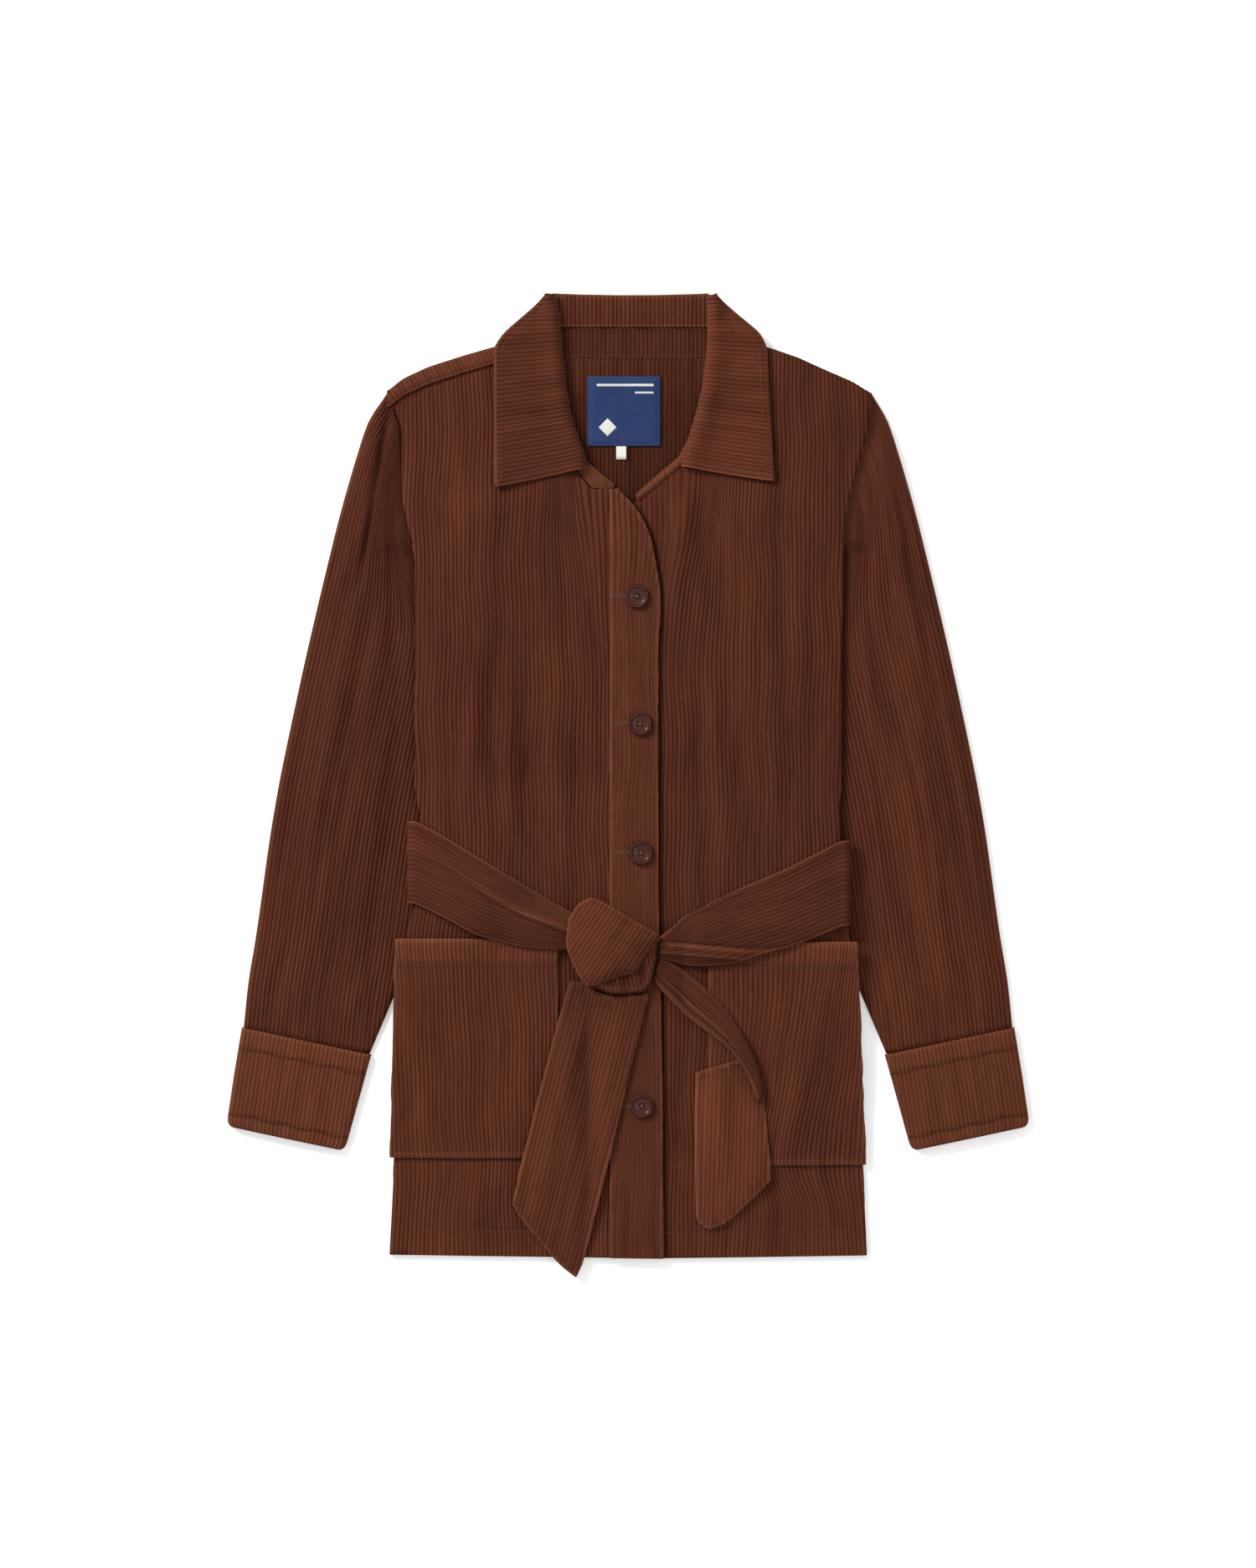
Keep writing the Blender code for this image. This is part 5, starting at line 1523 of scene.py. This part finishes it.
def rod(bm, start, end, radius, rings=4, sides=6, arch=0.0):
    # a stitch: a thin rod that dips at both ends
    start, end = np.array(start, dtype=float), np.array(end, dtype=float)
    made = bmesh.ops.create_grid(bm, x_segments=rings, y_segments=sides, size=0.5)
    way = end - start
    length = np.linalg.norm(way)
    way = way / length
    side = np.array((-way[1], way[0], 0.0))
    for vert in made["verts"]:
        t = vert.co.x + 0.5
        angle = (vert.co.y + 0.5) * 2.0 * math.pi
        wide = radius * math.sqrt(max(0.04, 1.0 - (2.0 * t - 1.0) ** 4))
        middle = start + way * length * t + np.array((0.0, 0.0, arch * math.sin(math.pi * t)))
        vert.co = middle + side * wide * math.cos(angle) + np.array((0.0, 0.0, wide * math.sin(angle)))
    bmesh.ops.remove_doubles(bm, verts=made["verts"], dist=0.00001)


def threadMaterial(name, colour):
    made, shader = newMaterial(name, {"Roughness": 0.7, "Sheen Weight": 0.2})
    spot = Wire.node("ShaderNodeTexCoord", {}, {}, 3)
    noise = Wire.node("ShaderNodeTexNoise", {}, {"Vector": spot, "Scale": 900.0, "Detail": 2.0})
    dark = tuple(0.7 * value for value in colour[:3]) + (1.0,)
    feed(shader, "Base Color", colourMix(noise, dark, colour))
    feed(shader, "Roughness", 0.62 + noise * 0.2)
    return made


threadLook = threadMaterial("sewingThread", (0.135, 0.046, 0.024, 1.0))


def closeRods(bm):
    rim = [edge for edge in bm.edges if edge.is_boundary]
    if rim:
        bmesh.ops.holes_fill(bm, edges=rim, sides=0)
    bmesh.ops.recalc_face_normals(bm, faces=bm.faces)


def addPlain(bm, name, nodes, look):
    closeRods(bm)
    mesh = bpy.data.meshes.new(name)
    bm.to_mesh(mesh)
    bm.free()
    return finishPiece(mesh, name, nodes, look)


def bandTop(x, y):
    return float(onFront(np.array(x), np.array(y))) + cloth["gap"] + cloth["double"] + cloth["relief"] * 0.45


def makeButtons():
    resin = buttonMaterial()
    shape = makeButtonMesh()
    for index, (x, y) in enumerate(buttonPiece["places"]):
        base = bandTop(x, y) + buttonPiece["lift"]
        mesh = shape.copy()
        bm = bmesh.new()
        bm.from_mesh(mesh)
        turning = Matrix.Rotation(buttonPiece["turn"] * (index - 1.5), 3, "Z")
        bmesh.ops.rotate(bm, verts=bm.verts, cent=(0, 0, 0), matrix=turning)
        bmesh.ops.translate(bm, verts=bm.verts, vec=(x, y, base))
        bm.to_mesh(mesh)
        bm.free()
        mesh.materials.clear()
        mesh.materials.append(resin)
        piece = bpy.data.objects.new("button" + str(index + 1), mesh)
        bpy.context.scene.collection.objects.link(piece)
        node = "button_" + str(index + 1)
        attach(piece, "root")
        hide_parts(node)
        cross = bmesh.new()
        half = 0.55 * buttonPiece["apart"]
        for sx in (-1, 1):
            for shift in (-0.00022, 0.00022):
                rod(cross, (x - sx * half + shift, y - half - shift, base + buttonPiece["threadHigh"]),
                    (x + sx * half + shift, y + half - shift, base + buttonPiece["threadHigh"]),
                    buttonPiece["thread"], 6, 6, buttonPiece["threadArch"])
        addPlain(cross, "buttonThread" + str(index + 1), (node,), threadLook)
    bpy.data.meshes.remove(shape)


makeButtons()
print("buttons done")

# stitches
stitchPiece = {
    "pitch": 0.0034, "radius": 0.00024, "sink": 0.00006, "arch": 0.00012, "first": 0.15, "share": 0.70,
    # buttonholes: bars in a row, the row's start and length, half height, the eyelets' places
    "bars": 13, "barStart": -0.0205, "barRun": 0.0100, "barHigh": 0.0014, "eyelets": (-0.0209, -0.0101),
    "eyeletHalf": 0.0015,
    "pocketLine": 0.0215, "pocketInset": 0.0034, "leafInset": 0.0055,
    # x, y of the hem's ends on the left and the right
    "hemLeft": ((-0.1975, -0.3735), (-0.0140, -0.3755)), "hemRight": ((0.0300, -0.3755), (0.1975, -0.3738)),
}
hosts = {}


def surfaceOf(name, wall):
    mesh = bpy.data.objects[name].data
    points = [vert.co.copy() for vert in mesh.vertices]
    faces = [tuple(face.vertices) for face in mesh.polygons]
    hosts[name] = (BVHTree.FromPolygons(points, faces), wall)


def topAt(name, x, y):
    tree, wall = hosts[name]
    spot = tree.ray_cast((x, y, 0.1), (0.0, 0.0, -1.0))[0]
    return None if spot is None else spot.z + wall


def stitchPath(bm, host, points):
    # stitches laid end to end along a path on the host's top
    for (x0, y0), (x1, y1) in zip(points, points[1:]):
        length = math.hypot(x1 - x0, y1 - y0)
        count = max(1, int(length / stitchPiece["pitch"]))
        for index in range(count):
            t0 = (index + stitchPiece["first"]) / count
            t1 = t0 + stitchPiece["share"] / count
            ends = []
            for t in (t0, t1):
                x, y = x0 + (x1 - x0) * t, y0 + (y1 - y0) * t
                z = topAt(host, x, y)
                if z is not None:
                    ends.append((x, y, z - stitchPiece["sink"]))
            if len(ends) == 2:
                rod(bm, ends[0], ends[1], stitchPiece["radius"], 4, 5, stitchPiece["arch"])


def makeStitches():
    part = stitchPiece
    walls = {"frontBand": cloth["double"], "pocket_lCloth": cloth["wall"], "pocket_rCloth": cloth["wall"],
             "frontLeft": cloth["wall"], "frontRight": cloth["wall"], "collar_leaf_lCloth": cloth["double"],
             "collar_leaf_rCloth": cloth["double"], "neckLabel": labelPiece["wall"]}
    for name, wall in walls.items():
        surfaceOf(name, wall)
    band = bmesh.new()
    ys = np.linspace(-0.392, 0.236, 60)
    stitchPath(band, "frontBand", [(bandPiece["left"] + bandPiece["stitchIn"], y) for y in ys])
    edges = [(float(readCurve(bandPiece["edge"], y, 1, 0.006)) - bandPiece["stitchIn"], y) for y in ys[:-2]]
    stitchPath(band, "frontBand", edges)
    # bars and eyelets of the buttonholes
    for x, y in buttonPiece["places"]:
        for index in range(part["bars"]):
            at = x + part["barStart"] + part["barRun"] * index / (part["bars"] - 1)
            for way in (-1, 1):
                z = bandTop(at, y) + 0.0001
                rod(band, (at, y + way * 0.0002, z), (at, y + way * part["barHigh"], z), 0.00030, 3, 5, 0.0001)
        for shift in part["eyelets"]:
            at = x + shift
            z = bandTop(at, y) + 0.0001
            rod(band, (at, y - part["eyeletHalf"], z), (at, y + part["eyeletHalf"], z), 0.00034, 4, 5, 0.0001)
    addPlain(band, "bandStitches", ("front_band",), threadLook)

    pockets = bmesh.new()
    for letter, (hand, inner, bottom, top, outTop, outLow) in pocketPieces.items():
        host = "pocket_" + letter + "Cloth"
        line, inset = top - part["pocketLine"], part["pocketInset"]
        stitchPath(pockets, host, [(inner, line), (mix(outLow, outTop, 0.88), line)])
        stitchPath(pockets, host, [(inner + hand * inset, top), (inner + hand * inset, bottom + inset),
                                   (outLow - hand * inset, bottom + inset), (outTop - hand * inset, top)])
    addPlain(pockets, "pocketStitches", ("pocket_l", "pocket_r"), threadLook)

    hem = bmesh.new()
    stitchPath(hem, "frontLeft", part["hemLeft"])
    stitchPath(hem, "frontRight", part["hemRight"])
    addPlain(hem, "hemStitches", ("front_l", "front_r"), threadLook)

    leaves = bmesh.new()
    for hand, letter in ((-1, "l"), (1, "r")):
        column = 1 if hand < 0 else 2
        host = "collar_leaf_" + letter + "Cloth"
        inset = part["leafInset"]
        low = collarPiece["low"][hand]
        lowest = [(x, float(readCurve(low, x, 1)) + inset) for x in np.linspace(low[0][0], low[-1][0], 12)]
        stitchPath(leaves, host, lowest)
        side = [(float(readCurve(collarPiece["edge"], y, column, 0.004)) - hand * inset, y)
                for y in np.linspace(0.2540, 0.3980, 20)]
        stitchPath(leaves, host, side)
    addPlain(leaves, "collarStitches", ("collar_leaf_l", "collar_leaf_r"), threadLook)


makeStitches()
print("stitches done")

# camera, light and floor
studio = {
    "height": 3.65, "lens": 100.0, "floor": (0.94, 0.94, 0.94, 1.0), "floorSize": 3.0, "floorGlow": 0.30,
    "world": 0.66, "sensor": 36.0,
    # name, place, aim, size, energy
    "lights": (("keyLight", (-1.75, 1.55, 1.55), (0.0, 0.0, 0.0), 0.9, 88.0),
               ("fillLight", (1.60, -0.40, 2.20), (0.0, 0.0, 0.0), 2.2, 6.0)),
}


def makeStudio():
    camera = bpy.data.cameras.new("camera")
    camera.lens = studio["lens"]
    camera.sensor_width = studio["sensor"]
    camera.sensor_fit = "VERTICAL"
    camera.sensor_height = studio["sensor"]
    seen = bpy.data.objects.new("camera", camera)
    seen.location = (0.0, 0.0, studio["height"])
    bpy.context.scene.collection.objects.link(seen)
    bpy.context.scene.camera = seen
    for name, place, aim, size, energy in studio["lights"]:
        lamp = bpy.data.lights.new(name, "AREA")
        lamp.size = size
        lamp.energy = energy
        lit = bpy.data.objects.new(name, lamp)
        lit.location = place
        way = Vector(aim) - Vector(place)
        lit.rotation_euler = way.to_track_quat("-Z", "Y").to_euler()
        bpy.context.scene.collection.objects.link(lit)
    world = bpy.data.worlds.new("studio")
    world.use_nodes = True
    world.node_tree.nodes["Background"].inputs["Color"].default_value = (1.0, 1.0, 1.0, 1.0)
    world.node_tree.nodes["Background"].inputs["Strength"].default_value = studio["world"]
    bpy.context.scene.world = world
    bpy.context.scene.view_settings.view_transform = "Standard"
    look, _ = newMaterial("floor", {"Base Color": studio["floor"], "Roughness": 0.9,
                                    "Emission Color": (1.0, 1.0, 1.0, 1.0),
                                    "Emission Strength": studio["floorGlow"]})
    bm = bmesh.new()
    bmesh.ops.create_grid(bm, x_segments=1, y_segments=1, size=studio["floorSize"])
    mesh = bpy.data.meshes.new("floor")
    bm.to_mesh(mesh)
    bm.free()
    mesh.materials.append(look)
    floor = bpy.data.objects.new("floor", mesh)
    bpy.context.scene.collection.objects.link(floor)


makeStudio()
print("studio done")
